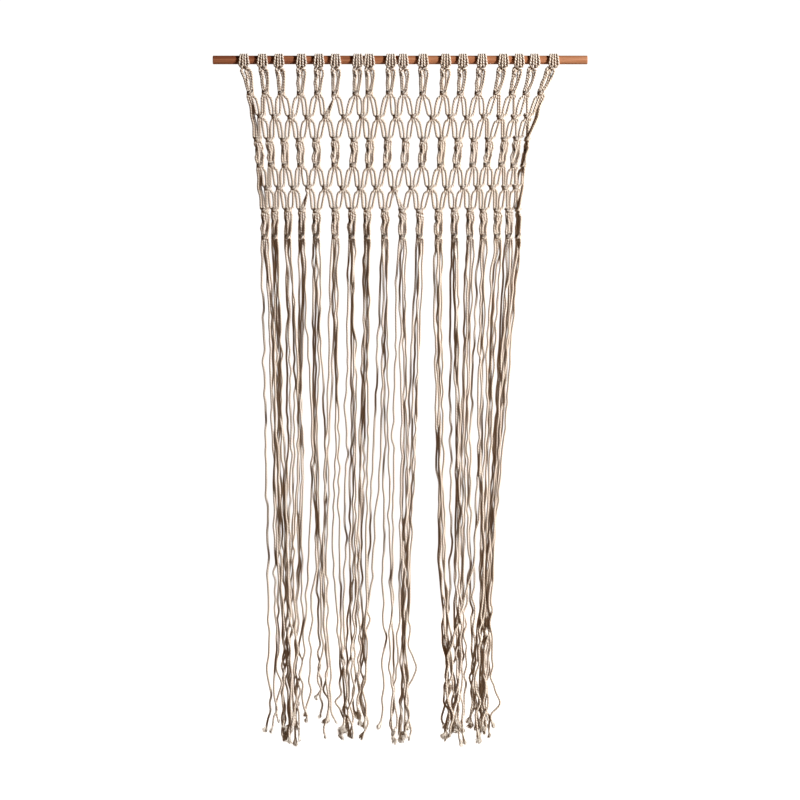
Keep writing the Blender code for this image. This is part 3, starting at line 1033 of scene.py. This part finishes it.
@dataclass
class LooseCords:
    """The loose cords below the knotwork: how they fall, gather and cross."""

    knotwork: Knotwork
    top_z: float = -0.5240
    parted_z: float = -0.5420
    lowest_z: float = -1.9800
    bottom_z: float = -1.9900
    slices: int = 200
    clear: float = 0.0059
    room: float = 0.0061
    layer_depth: float = 0.00248
    lean_y: tuple[float, ...] = (0.0020, 0.0008, -0.0008, -0.0020)
    start_share: tuple[float, float] = (0.90, 1.10)
    stray: float = 0.004
    low_from: float = 0.62
    low_over: float = 0.30
    fade_over: float = 0.020
    settle_rounds: int = 26
    push_aside: float = 0.21
    push_forward: float = 0.546
    deepest: float = 0.0200
    shorter: tuple[float, ...] = (0.0, 0.0, 0.0, 0.014, 0.034)
    end_aside: float = 0.0050
    end_forward: float = 0.0030
    end_length: float = 0.050

    def __post_init__(self) -> None:
        """Sets the heights of the slices, how far down each is, and how near the tips."""
        self.z = np.linspace(self.top_z, self.bottom_z, self.slices)
        self.down = (self.top_z - self.z) / (self.top_z - self.bottom_z)
        self.low = np.clip((self.down - self.low_from) / self.low_over, 0.0, 1.0)

    def fall_x(self) -> np.ndarray:
        """Returns where each cord wants to hang, at every slice."""
        chance = random.Random(Seed.FALLS)
        wanted = []
        for column, fall, last in zip(COLUMNS, FALLS, self.knotwork.last_knots):
            starts = chance.choice(STRING_STARTS)
            facing = math.cos(last.turn) * MM
            for lane in Lane:
                apart = starts[lane] * chance.uniform(*self.start_share)
                marks = [
                    (last.x + LAST_SPREAD[lane] * facing, self.top_z),
                    (last.x + apart * facing, self.parted_z),
                    *(((column.foot + shifts[lane]) * MM, z) for shifts, z in zip(fall, LEVELS_Z)),
                ]
                marks.append((marks[-1][0] + chance.uniform(-self.stray, self.stray), self.lowest_z))
                xs, heights = zip(*marks)
                wanted.append(np.interp(-self.z, -np.array(heights), xs))
        return np.stack(wanted, axis=1)

    def layer_y(self, wanted: np.ndarray) -> np.ndarray:
        """Hangs each cord in the first layer where it keeps clear of others.

        Args:
            wanted: Where the cords hang, as slices by cords.

        Returns:
            Each cord's distance from the rod's plane.
        """
        hung: dict[int, list[np.ndarray]] = {layer: [] for layer in LAYERS}
        ys = []
        for cord in wanted.T:
            for layer in LAYERS:
                gaps = [cord - other for other in hung[layer]]
                if all(gap.min() >= self.clear or gap.max() <= -self.clear for gap in gaps):
                    break
            hung[layer].append(cord)
            ys.append(layer * self.layer_depth)
        return np.array(ys)

    @staticmethod
    def smooth(table: np.ndarray, rounds: int = 1) -> np.ndarray:
        """Evens out a table along its slices, and keeps both ends.

        Args:
            table: The table, which is changed.
            rounds: How often it is done.

        Returns:
            The same table.
        """
        for _ in range(rounds):
            table[1:-1] = (table[:-2] + 2 * table[1:-1] + table[2:]) / 4
        return table

    def waves(self, chance: np.random.Generator, count: int, wave: Wave) -> np.ndarray:
        """Returns gentle waves for a number of cords.

        Args:
            chance: The source of randomness.
            count: How many cords there are.
            wave: The kind of waves.

        Returns:
            The waves, slice by slice.
        """
        marks = int(abs(self.bottom_z - self.top_z) / wave.period) + 3
        found = []
        for _ in range(count):
            places = np.cumsum(chance.uniform(0.6, 1.4, marks))
            places = (places - places[0]) / (places[-1] - places[0])
            values = chance.normal(0.0, 1.0, marks)
            found.append(np.interp(np.linspace(0, 1, self.slices), places, values))
        size = wave.size + wave.down * self.down + wave.low * self.low
        return self.smooth(np.stack(found, axis=1)) * size[:, None]

    def settle(self) -> np.ndarray:
        """Lets the cords hang side by side, so that no two are in one place.

        Returns:
            The cords' places, as slices by cords by axes.
        """
        wanted = self.smooth(self.fall_x(), 3)
        count = wanted.shape[1]
        chance = np.random.default_rng(Seed.WAVES)
        x = wanted.copy()
        for wave in WAVES_ASIDE:
            x += self.waves(chance, count, wave)
        lean = np.outer([column.lean for column in COLUMNS], self.lean_y).ravel()
        y = np.tile(self.layer_y(wanted) + lean, (self.slices, 1))
        y += self.waves(chance, count, WAVES_FORWARD)
        fade = np.clip(self.down / self.fade_over, 0.0, 1.0)[:, None]
        turns = np.repeat([knot.turn for knot in self.knotwork.last_knots], len(Lane))
        across = np.tile(LAST_SPREAD, len(COLUMNS)) * MM
        y = across * np.sin(turns) * (1.0 - fade) + y * fade
        x = wanted + (x - wanted) * fade
        moved_x, moved_y = np.zeros_like(x), np.zeros_like(y)
        for _ in range(self.settle_rounds):
            here_x, here_y = x + moved_x, y + moved_y
            dx = here_x[:, :, None] - here_x[:, None, :]
            dy = here_y[:, :, None] - here_y[:, None, :]
            apart = np.sqrt(dx * dx + dy * dy) + np.eye(count)[None]
            push = np.clip(self.room - apart, 0.0, None) / apart
            moved_x = self.smooth(moved_x + self.push_aside * (push * dx).sum(axis=2))
            moved_y = self.smooth(moved_y + self.push_forward * (push * dy).sum(axis=2))
            moved_y = np.clip(y + moved_y, -self.deepest, self.deepest) - y
        return np.stack([x + moved_x, y + moved_y, np.tile(self.z[:, None], (1, count))], axis=2)

    def courses(self) -> list[list[Point]]:
        """Returns the points of every loose cord, down to its tip."""
        table = self.settle()
        chance = random.Random(Seed.TIPS)
        found = []
        for cord in range(table.shape[1]):
            column, lane = divmod(cord, len(Lane))
            tip_z = self.knotwork.tips[column][lane] + chance.choice(self.shorter)
            aside, forward = chance.gauss(0.0, self.end_aside), chance.gauss(0.0, self.end_forward)
            points = []
            for x, y, z in table[:, cord]:
                if z < tip_z + 2.0 * MM:
                    break
                end = max(0.0, 1.0 - (z - tip_z) / self.end_length) ** 2
                y = min(self.deepest, max(-self.deepest, y + forward * end))
                points.append((x + aside * end, y, z))
            points.append((points[-1][0] + aside * 0.25, points[-1][1], tip_z))
            for bend in BENDS:
                if (bend.column, bend.lane) == (column, lane):
                    points = [bend.moved(point) for point in points]
            found.append(points)
        return found


@dataclass
class FrayedEnd:
    """The brush of loose fibres at a cord's end."""

    length: float = 0.0225
    spread: float = 0.0118
    root: float = 0.0020
    deepest: float = 0.0330
    fibres: int = 44
    thickness: float = 0.00135
    tip_share: float = 0.35
    rings: int = 4
    twist: float = 0.6
    forms: int = 6

    def fibre(self, points: list[Point]) -> bpy.types.Mesh:
        """Makes one bundle of fibres.

        Args:
            points: The points of its course.

        Returns:
            Its closed mesh.
        """
        course = Course(points, 2)
        bm = bmesh.new()
        ring = bmesh.ops.create_circle(bm, segments=3, radius=self.thickness, cap_ends=False)["verts"]
        edges = list(bm.edges)
        last = spun(bm, [*ring, *edges], self.twist, self.rings, (0.0, 0.0, -course.length / self.rings))
        bmesh.ops.contextual_create(bm, geom=edges)
        bmesh.ops.contextual_create(bm, geom=of_kind(last, bmesh.types.BMEdge))
        tips = of_kind(last, bmesh.types.BMVert)
        bmesh.ops.scale(bm, vec=(self.tip_share, self.tip_share, 1.0), verts=tips)
        bmesh.ops.recalc_face_normals(bm, faces=bm.faces)
        course.lay(bm, 0.0)
        return finished_mesh(bm, "fibre")

    def build(self, number: int) -> bmesh.types.BMesh:
        """Makes one form of the brush, which hangs down from the origin and fans out.

        Args:
            number: Which form it is.

        Returns:
            The brush's mesh.
        """
        chance = random.Random(Seed.FRAYED_ENDS + number)
        whole = bmesh.new()
        flat = chance.uniform(0.35, 0.60)
        sweep = chance.uniform(-0.35, 0.35)
        for index in range(self.fibres):
            angle = chance.uniform(0.0, math.tau)
            out = math.sqrt((index + 0.5) / self.fibres)
            aside, forward = math.cos(angle), math.sin(angle)
            reach = self.spread * out * chance.uniform(0.75, 1.20)
            drop = self.length * chance.uniform(0.70, 1.0) * (1.0 - 0.22 * out * out)
            bow = chance.uniform(0.30, 0.62)
            start = (aside * self.root * out, forward * self.root * out, self.root)
            middle = (aside * reach * bow, forward * reach * flat * bow, -drop * 0.45)
            end = (aside * reach + sweep * drop, forward * reach * flat, -drop)
            mesh = self.fibre([start, middle, end])
            whole.from_mesh(mesh)
            bpy.data.meshes.remove(mesh)
        return whole

    def make_all(self) -> list[bpy.types.Mesh]:
        """Makes every form of the brush."""
        return [finished_mesh(self.build(number), f"frayed_end_{number}") for number in range(self.forms)]


@dataclass
class Curtain:
    """The whole curtain, cord by cord, and the pieces that it is made in."""

    cord: CottonCord = field(default_factory=CottonCord)
    ends: FrayedEnd = field(default_factory=FrayedEnd)
    knotwork: Knotwork = field(default_factory=Knotwork)
    columns_a_piece: int = 6
    longest: float = 1.60
    loose_share: float = 0.80
    below_foot: float = 0.0128
    fibre_depth: tuple[float, float] = (0.10, 0.30)
    end_tilt: float = 0.40
    end_size: tuple[float, float] = (0.75, 1.30)

    def __post_init__(self) -> None:
        """Follows every folded cord from tip to tip, and finds where it leaves the net."""
        self.long_length = self.cord.long_length(self.longest)
        loose = LooseCords(self.knotwork).courses()
        self.courses: dict[CordKey, Course] = {}
        self.net_span: dict[CordKey, tuple[float, float]] = {}
        for column in range(len(COLUMNS)):
            cut_z = self.knotwork.rows[-1][column].z - self.below_foot
            for fold in (0, 1):
                lanes = (Lane(2 * fold), Lane(2 * fold + 1))
                left_net, right_net = (self.knotwork.net_course(column, lane) for lane in lanes)
                left_loose, right_loose = (loose[column * len(Lane) + FIRST_SWAP[lane]] for lane in lanes)
                course = Course([*reversed(left_loose), *reversed(left_net), *right_net, *right_loose])
                above = course.places[:, 2] - cut_z
                crossings = course.along[1:][above[:-1] * above[1:] <= 0.0]
                self.courses[(column, fold)] = course
                self.net_span[(column, fold)] = (float(crossings[0]), float(crossings[-1]))

    @staticmethod
    def own_tone(key: CordKey) -> float:
        """Returns a cord's own tone, from 0 to 1."""
        return random.Random(key[0] * 10 + key[1]).random()

    def length(self, key: CordKey, start: float, end: float) -> bpy.types.Mesh:
        """Makes a length of a folded cord on its course.

        Args:
            key: The cord's column and fold.
            start: Where the length starts along the cord.
            end: Where it ends.

        Returns:
            Its mesh, with how deep each point lies in the knots' painted shade and the cord's own tone.
        """
        bm = self.cord.straight(self.long_length, end - start, start)
        depth, tone = (bm.verts.layers.float[name] for name in ("depth", "tone"))
        own_tone = self.own_tone(key)
        self.courses[key].lay(bm, start, self.loose_share)
        deep = self.knotwork.crease_depth(key[0], np.array([vert.co for vert in bm.verts]))
        for vert, value in zip(bm.verts, deep):
            vert[depth] = value
            vert[tone] = own_tone
        return finished_mesh(bm, "length_of_cord")

    def join(self, name: str, meshes: list[bpy.types.Mesh], finish: bpy.types.Material) -> bpy.types.Object:
        """Joins lengths of cord into one piece.

        Args:
            name: The piece's name.
            meshes: The lengths, which are used up.
            finish: The piece's material.

        Returns:
            The piece.
        """
        bm = bmesh.new()
        cord_layers(bm)
        for mesh in meshes:
            bm.from_mesh(mesh)
            bpy.data.meshes.remove(mesh)
        for face in bm.faces:
            face.smooth = True
        piece = placed(name, finished_mesh(bm, name))
        piece.data.materials.append(finish)
        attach(piece, BODY)
        log.info("%s has %d faces", name, len(piece.data.polygons))
        return piece

    def build_net(self, finish: bpy.types.Material) -> None:
        """Makes the knotted net, a few columns to a piece.

        Args:
            finish: The cotton's material.
        """
        for first in range(0, len(COLUMNS), self.columns_a_piece):
            meshes = [
                self.length((column, fold), *self.net_span[(column, fold)])
                for column in range(first, first + self.columns_a_piece)
                for fold in (0, 1)
            ]
            piece = self.join(f"knotted_net_{first // self.columns_a_piece + 1}", meshes, finish)
            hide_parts(NET_NODE)

    def frayed_end(self, key: CordKey, along: float, forward: bool, form: bpy.types.Mesh) -> bpy.types.Mesh:
        """Puts a brush on a cord's end.

        Args:
            key: The cord's column and fold.
            along: Where the end is along the cord.
            forward: Whether the cord runs to that end, and not from it.
            form: The brush.

        Returns:
            The placed brush's mesh.
        """
        # Each end has its own seed, from its place along the cord.
        chance = random.Random(int(along * 1e6) % 10007 + key[0])
        place = self.courses[key].frame_at(along)
        if not forward:
            place = place @ Matrix.Rotation(math.pi, 4, "X")
        place = place @ Matrix.Rotation(chance.uniform(0.0, math.tau), 4, "Z")
        place = place @ Matrix.Rotation(chance.gauss(0.0, self.end_tilt), 4, "Y")
        place = place @ Matrix.Scale(chance.uniform(*self.end_size), 4)
        bm = bmesh.new()
        bm.from_mesh(form)
        straight, depth, tone = cord_layers(bm)
        own_tone = self.own_tone(key)
        # Small random depths in the painted-shade layer darken the brush a little, unevenly.
        least, more = self.fibre_depth
        for vert in bm.verts:
            vert[straight] = Vector((1.0, 0.0, 0.0))
            vert[depth] = least + more * chance.random()
            vert[tone] = own_tone
        bmesh.ops.transform(bm, matrix=place, verts=bm.verts)
        for vert in bm.verts:
            vert.co.y = self.ends.deepest * math.tanh(vert.co.y / self.ends.deepest)
        return finished_mesh(bm, "frayed_end")

    def build_loose_cords(self, finish: bpy.types.Material) -> None:
        """Makes each column's last knot and loose cords as one piece.

        Args:
            finish: The cotton's material.
        """
        forms = self.ends.make_all()
        cut = self.ends.length
        for column in range(len(COLUMNS)):
            meshes = []
            for fold in (0, 1):
                key = (column, fold)
                start, end = self.net_span[key]
                far = self.courses[key].length - cut
                meshes += [self.length(key, cut, start), self.length(key, end, far)]
                pick = column * 4 + fold * 2
                meshes.append(self.frayed_end(key, cut, False, forms[pick % len(forms)]))
                meshes.append(self.frayed_end(key, far, True, forms[(pick + 1) % len(forms)]))
            piece = self.join(f"loose_cords_{column + 1:02d}", meshes, finish)
            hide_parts(f"strings_{column + 1:02d}")


class Wire:
    """A shader value, with Python's operators for its sums."""

    def __init__(self, tree: bpy.types.NodeTree, socket: bpy.types.NodeSocket) -> None:
        """Wraps a node's output."""
        self.tree = tree
        self.socket = socket

    def _sum(self, operation: str, first: Any, second: Any) -> "Wire":
        """Adds a Math node.

        Args:
            operation: What it does.
            first: Its first value.
            second: Its second value.

        Returns:
            Its result.
        """
        node = self.tree.nodes.new("ShaderNodeMath")
        node.operation = operation
        for socket, value in zip(node.inputs, (first, second)):
            if isinstance(value, Wire):
                self.tree.links.new(value.socket, socket)
            else:
                socket.default_value = value
        return Wire(self.tree, node.outputs[0])

    def __add__(self, other: Any) -> "Wire":
        """This value and another."""
        return self._sum("ADD", self, other)

    def __radd__(self, other: Any) -> "Wire":
        """A number and this value."""
        return self._sum("ADD", other, self)

    def __sub__(self, other: Any) -> "Wire":
        """This value less another."""
        return self._sum("SUBTRACT", self, other)

    def __rsub__(self, other: Any) -> "Wire":
        """A number less this value."""
        return self._sum("SUBTRACT", other, self)

    def __mul__(self, other: Any) -> "Wire":
        """This value times another."""
        return self._sum("MULTIPLY", self, other)

    def __rmul__(self, other: Any) -> "Wire":
        """A number times this value."""
        return self._sum("MULTIPLY", other, self)


class Finish:
    """A material being put together."""

    def __init__(self, name: str) -> None:
        """Starts a material with its Principled shader."""
        self.material = bpy.data.materials.new(name)
        self.material.use_nodes = True
        self.tree = self.material.node_tree
        self.shader = self.tree.nodes["Principled BSDF"]

    def node(self, kind: str, settings: dict[str, Any] | None = None, **sockets: Any) -> bpy.types.Node:
        """Adds a node.

        Args:
            kind: The node's type.
            settings: Its settings, which are set first. A ramp's stops are given as (place, colour) pairs.
            sockets: Values or links for its inputs, by their names with _ for a space.

        Returns:
            The node.
        """
        made = self.tree.nodes.new(kind)
        for name, value in (settings or {}).items():
            if name == "stops":
                ramp = made.color_ramp
                while len(ramp.elements) < len(value):
                    ramp.elements.new(0.5)
                for element, (place, colour) in zip(ramp.elements, value):
                    element.position = place
                    element.color = colour
            else:
                setattr(made, name, value)
        for name, value in sockets.items():
            self.put(made.inputs[name.replace("_", " ")], value)
        return made

    def put(self, socket: bpy.types.NodeSocket, value: Any) -> None:
        """Sets an input to a value, or links it.

        Args:
            socket: The input.
            value: A value, a wire or another node's output.
        """
        if isinstance(value, Wire):
            self.tree.links.new(value.socket, socket)
        elif isinstance(value, bpy.types.NodeSocket):
            self.tree.links.new(value, socket)
        else:
            socket.default_value = value

    def dress(self, **sockets: Any) -> bpy.types.Material:
        """Finishes the material.

        Args:
            sockets: Values or links for the shader's inputs, by their names with _ for a space.

        Returns:
            The material.
        """
        for name, value in sockets.items():
            self.put(self.shader.inputs[name.replace("_", " ")], value)
        return self.material

    def wire(self, node: bpy.types.Node, output: str | int = 0) -> Wire:
        """Wraps a node's output."""
        return Wire(self.tree, node.outputs[output])

    def calculate(self, operation: str, *values: Any) -> Wire:
        """Adds a Math node for an operation that Python has no sign for.

        Args:
            operation: What it does.
            values: Its values.

        Returns:
            Its result.
        """
        node = self.node("ShaderNodeMath", {"operation": operation})
        for socket, value in zip(node.inputs, values):
            self.put(socket, value)
        return self.wire(node)

    def attribute(self, name: str, output: str = "Fac") -> Wire:
        """Reads one of the piece's own attributes."""
        return self.wire(self.node("ShaderNodeAttribute", {"attribute_name": name}), output)

    def noise(self, place: Any, **sockets: Any) -> Wire:
        """Adds a noise from about 0 to 1."""
        return self.wire(self.node("ShaderNodeTexNoise", Vector=place, **sockets), "Fac")

    def fade(self, value: Wire, start: float, end: float, first: float, last: float) -> Wire:
        """Goes softly from one result to another.

        Args:
            value: What it follows.
            start: The value that it starts at.
            end: The value that it ends at.
            first: The result up to the start.
            last: The result from the end on.

        Returns:
            The result.
        """
        limits = {"From_Min": start, "From_Max": end, "To_Min": first, "To_Max": last}
        soft = {"interpolation_type": "SMOOTHSTEP"}
        return self.wire(self.node("ShaderNodeMapRange", soft, Value=value, **limits))

    def mix(self, factor: Any, first: Any, second: Any) -> bpy.types.NodeSocket:
        """Mixes two colours.

        Args:
            factor: How much there is of the second one.
            first: The first colour.
            second: The second colour.

        Returns:
            The mixed colour.
        """
        made = self.node("ShaderNodeMix", {"data_type": "RGBA"})
        # A Mix node's sockets for colours are inputs 6 and 7 and output 2.
        for number, value in ((0, factor), (6, first), (7, second)):
            self.put(made.inputs[number], value)
        return made.outputs[2]


@dataclass(frozen=True)
class CottonFinish:
    """Unbleached cotton: warm beige on the plies, with painted shade in the grooves between them and in the
    knots' creases and pits.
    """

    cord: CottonCord
    light: Colour = (0.79, 0.735, 0.665, 1.0)
    warm: Colour = (0.73, 0.635, 0.505, 1.0)
    # Painted shade: the brown that the grooves between the plies are darkened to.
    groove: Colour = (0.27, 0.138, 0.060, 1.0)
    # Painted shade: the near-black brown that the knots' creases and pits are darkened to.
    painted_crease_shade: Colour = (0.045, 0.022, 0.010, 1.0)
    patch_scale: float = 9.0
    fibre_scale: float = 900.0

    def build(self) -> bpy.types.Material:
        """Makes the material."""
        cotton = Finish("cotton")
        axes = cotton.node("ShaderNodeSeparateXYZ", Vector=cotton.attribute("straight", "Vector"))
        across, aside, along = (cotton.wire(axes, axis) for axis in "XYZ")
        angle = cotton.calculate("ARCTAN2", aside, across)
        turned = (angle + along * (math.tau / self.cord.lay)) * self.cord.plies
        ply = cotton.calculate("COSINE", turned) * 0.5 + 0.5
        place = cotton.node("ShaderNodeTexCoord").outputs["Object"]
        patches = cotton.noise(place, Scale=self.patch_scale, Detail=3.0)
        fibres = cotton.noise(place, Scale=self.fibre_scale, Detail=2.0)
        # Painted shade: where the helical ply pattern is low, between the plies, the colour goes to the
        # groove brown.
        groove = cotton.fade(ply + (fibres - 0.5) * 0.35, -0.05, 0.62, 1.0, 0.0)
        # Painted shade in the knots' creases and pits, from the depth layer, which also darkens the frayed
        # ends a little at random.
        painted_crease_shade = cotton.fade(cotton.attribute("depth") + (fibres - 0.5) * 0.2, 0.15, 0.75, 0.0, 1.0)
        body = cotton.mix(cotton.attribute("tone") * 0.5 + patches * 0.6 - 0.12, self.light, self.warm)
        colour = cotton.mix(painted_crease_shade, cotton.mix(groove, body, self.groove), self.painted_crease_shade)
        bump = cotton.node("ShaderNodeBump", Height=ply + fibres * 0.35, Strength=0.7, Distance=0.0008)
        return cotton.dress(
            Base_Color=colour,
            Normal=bump.outputs[0],
            Roughness=0.93,
            Diffuse_Roughness=1.0,
            Specular_IOR_Level=0.15,
        )


@dataclass(frozen=True)
class RodFinish:
    """Stained wood, with its grain along the rod."""

    dark: Colour = (0.20, 0.055, 0.019, 1.0)
    middle: Colour = (0.32, 0.112, 0.040, 1.0)
    light: Colour = (0.42, 0.185, 0.088, 1.0)
    grain_scale: Point = (5.0, 150.0, 150.0)
    broad_scale: Point = (2.2, 22.0, 22.0)

    def build(self) -> bpy.types.Material:
        """Makes the material."""
        wood = Finish("rod_wood")
        place = wood.node("ShaderNodeTexCoord").outputs["Object"]
        fine_place, broad_place = (
            wood.node("ShaderNodeMapping", Vector=place, Scale=scale).outputs[0]
            for scale in (self.grain_scale, self.broad_scale)
        )
        grain = wood.noise(fine_place, Scale=1.0, Detail=6.0, Roughness=0.62)
        broad = wood.noise(broad_place, Scale=1.0, Detail=2.0)
        # The colour grows lighter towards the rod's right end (+X).
        lengthwise = wood.wire(wood.node("ShaderNodeSeparateXYZ", Vector=place), "X") * 0.12
        stain = wood.node(
            "ShaderNodeValToRGB",
            {"stops": ((0.40, self.dark), (0.52, self.middle), (0.66, self.light))},
            Fac=grain * 0.62 + broad * 0.38 + lengthwise,
        )
        bump = wood.node("ShaderNodeBump", Height=grain, Strength=0.25, Distance=0.0008)
        roughness = 0.42 + grain * 0.30
        return wood.dress(Base_Color=stain.outputs[0], Roughness=roughness, Normal=bump.outputs[0])


class Lamp(NamedTuple):
    """A soft square lamp: its place, its width, its power in watts and its colour."""

    name: str
    place: Point
    width: float
    power: float
    colour: Point


@dataclass
class Studio:
    """The pale floor and backdrop, the lamps and the camera."""

    view_width: float = 2.307
    lens: float = 110.0
    sensor: float = 36.0
    far_limit: float = 100.0
    middle_x: float = -0.0004
    middle_z: float = -0.9806
    floor_z: float = -2.06
    floor_y: float = -8.0
    floor_half: float = 14.0
    bend_radius: float = 2.5
    wall_height: float = 12.0
    paper: Colour = (0.17, 0.110, 0.062, 1.0)
    glow: Colour = (1.0, 0.40, 0.12, 1.0)
    glow_strength: float = 0.036
    surroundings: Colour = (1.0, 1.0, 1.0, 1.0)
    lit_place: Point = (0.0, 0.0, -0.95)
    lamps: tuple[Lamp, ...] = (
        Lamp("key_light", (5.35, -3.2, 0.3), 0.9, 990.0, (0.925, 0.955, 1.0)),
        Lamp("fill_light", (-1.0, -6.5, 0.2), 2.0, 17.0, (1.0, 0.46, 0.18)),
        Lamp("back_light", (1.0, 5.6, 0.5), 1.6, 330.0, (1.0, 0.97, 0.93)),
    )

    def build_sheet(self) -> None:
        """Makes the floor and backdrop as one curved sheet, seen as white though it reflects little."""
        bm = bmesh.new()
        bmesh.ops.create_grid(bm, x_segments=1, y_segments=1, size=self.floor_half)
        bmesh.ops.translate(bm, vec=(0.0, self.floor_y, self.floor_z), verts=bm.verts)
        back = max(bm.edges, key=lambda edge: sum(vert.co.y for vert in edge.verts))
        centre = (0.0, self.floor_y + self.floor_half, self.floor_z + self.bend_radius)
        last = spun(bm, [back, *back.verts], math.radians(90), 12, (0.0, 0.0, 0.0), centre, (1.0, 0.0, 0.0))
        raised = bmesh.ops.extrude_edge_only(bm, edges=of_kind(last, bmesh.types.BMEdge))["geom"]
        top = of_kind(raised, bmesh.types.BMVert)
        bmesh.ops.translate(bm, vec=(0.0, 0.0, self.wall_height), verts=top)
        for face in bm.faces:
            face.smooth = True
        sheet = placed("studio_sheet", finished_mesh(bm, "studio_sheet"))
        paper = Finish("paper")
        seen = paper.node("ShaderNodeLightPath").outputs["Is Camera Ray"]
        sheet.data.materials.append(
            paper.dress(Base_Color=self.paper, Roughness=0.9, Emission_Color=seen, Emission_Strength=1.0)
        )

    def build_lamps(self) -> None:
        """Sets a strong lamp on the right, a weak warm one in front and one for the views from behind."""
        for lamp in self.lamps:
            data = bpy.data.lights.new(lamp.name, "AREA")
            data.size = lamp.width
            data.energy = lamp.power
            data.color = lamp.colour
            light = placed(lamp.name, data)
            light.location = lamp.place
            light.visible_camera = False
            aim = Vector(self.lit_place) - Vector(lamp.place)
            light.rotation_euler = aim.to_track_quat("-Z", "Y").to_euler()

    def build_surroundings(self) -> None:
        """Gives the room a faint warm glow, and shows it white to the camera."""
        world = bpy.data.worlds.new("studio")
        world.use_nodes = True
        tree = world.node_tree
        glow, white = tree.nodes["Background"], tree.nodes.new("ShaderNodeBackground")
        glow.inputs["Color"].default_value = self.glow
        glow.inputs["Strength"].default_value = self.glow_strength
        white.inputs["Color"].default_value = self.surroundings
        either = tree.nodes.new("ShaderNodeMixShader")
        seen = tree.nodes.new("ShaderNodeLightPath").outputs["Is Camera Ray"]
        for number, output in enumerate((seen, glow.outputs[0], white.outputs[0])):
            tree.links.new(output, either.inputs[number])
        tree.links.new(either.outputs[0], tree.nodes["World Output"].inputs["Surface"])
        bpy.context.scene.world = world
        bpy.context.scene.view_settings.view_transform = "Standard"

    def build_camera(self) -> None:
        """Puts the camera level with the curtain's middle, far enough for a flat view."""
        data = bpy.data.cameras.new("camera")
        data.lens = self.lens
        data.sensor_width = self.sensor
        data.clip_end = self.far_limit
        camera = placed("camera", data)
        distance = self.view_width * self.lens / self.sensor
        camera.location = (self.middle_x, -distance, self.middle_z)
        camera.rotation_euler = (math.radians(90), 0.0, 0.0)
        bpy.context.scene.camera = camera


def main() -> None:
    """Builds the studio, the finishes and the curtain."""
    logging.basicConfig(level=logging.INFO, format="%(message)s")
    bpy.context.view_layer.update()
    studio = Studio()
    studio.build_sheet()
    studio.build_lamps()
    studio.build_surroundings()
    studio.build_camera()

    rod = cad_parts["rod"]
    rod.material_slots[0].material = RodFinish().build()
    log.info("rod keeps its solid and has %d faces", len(rod.data.polygons))

    curtain = Curtain()
    cotton = CottonFinish(curtain.cord).build()
    curtain.build_net(cotton)
    curtain.build_loose_cords(cotton)


if __name__ == "__main__":
    main()
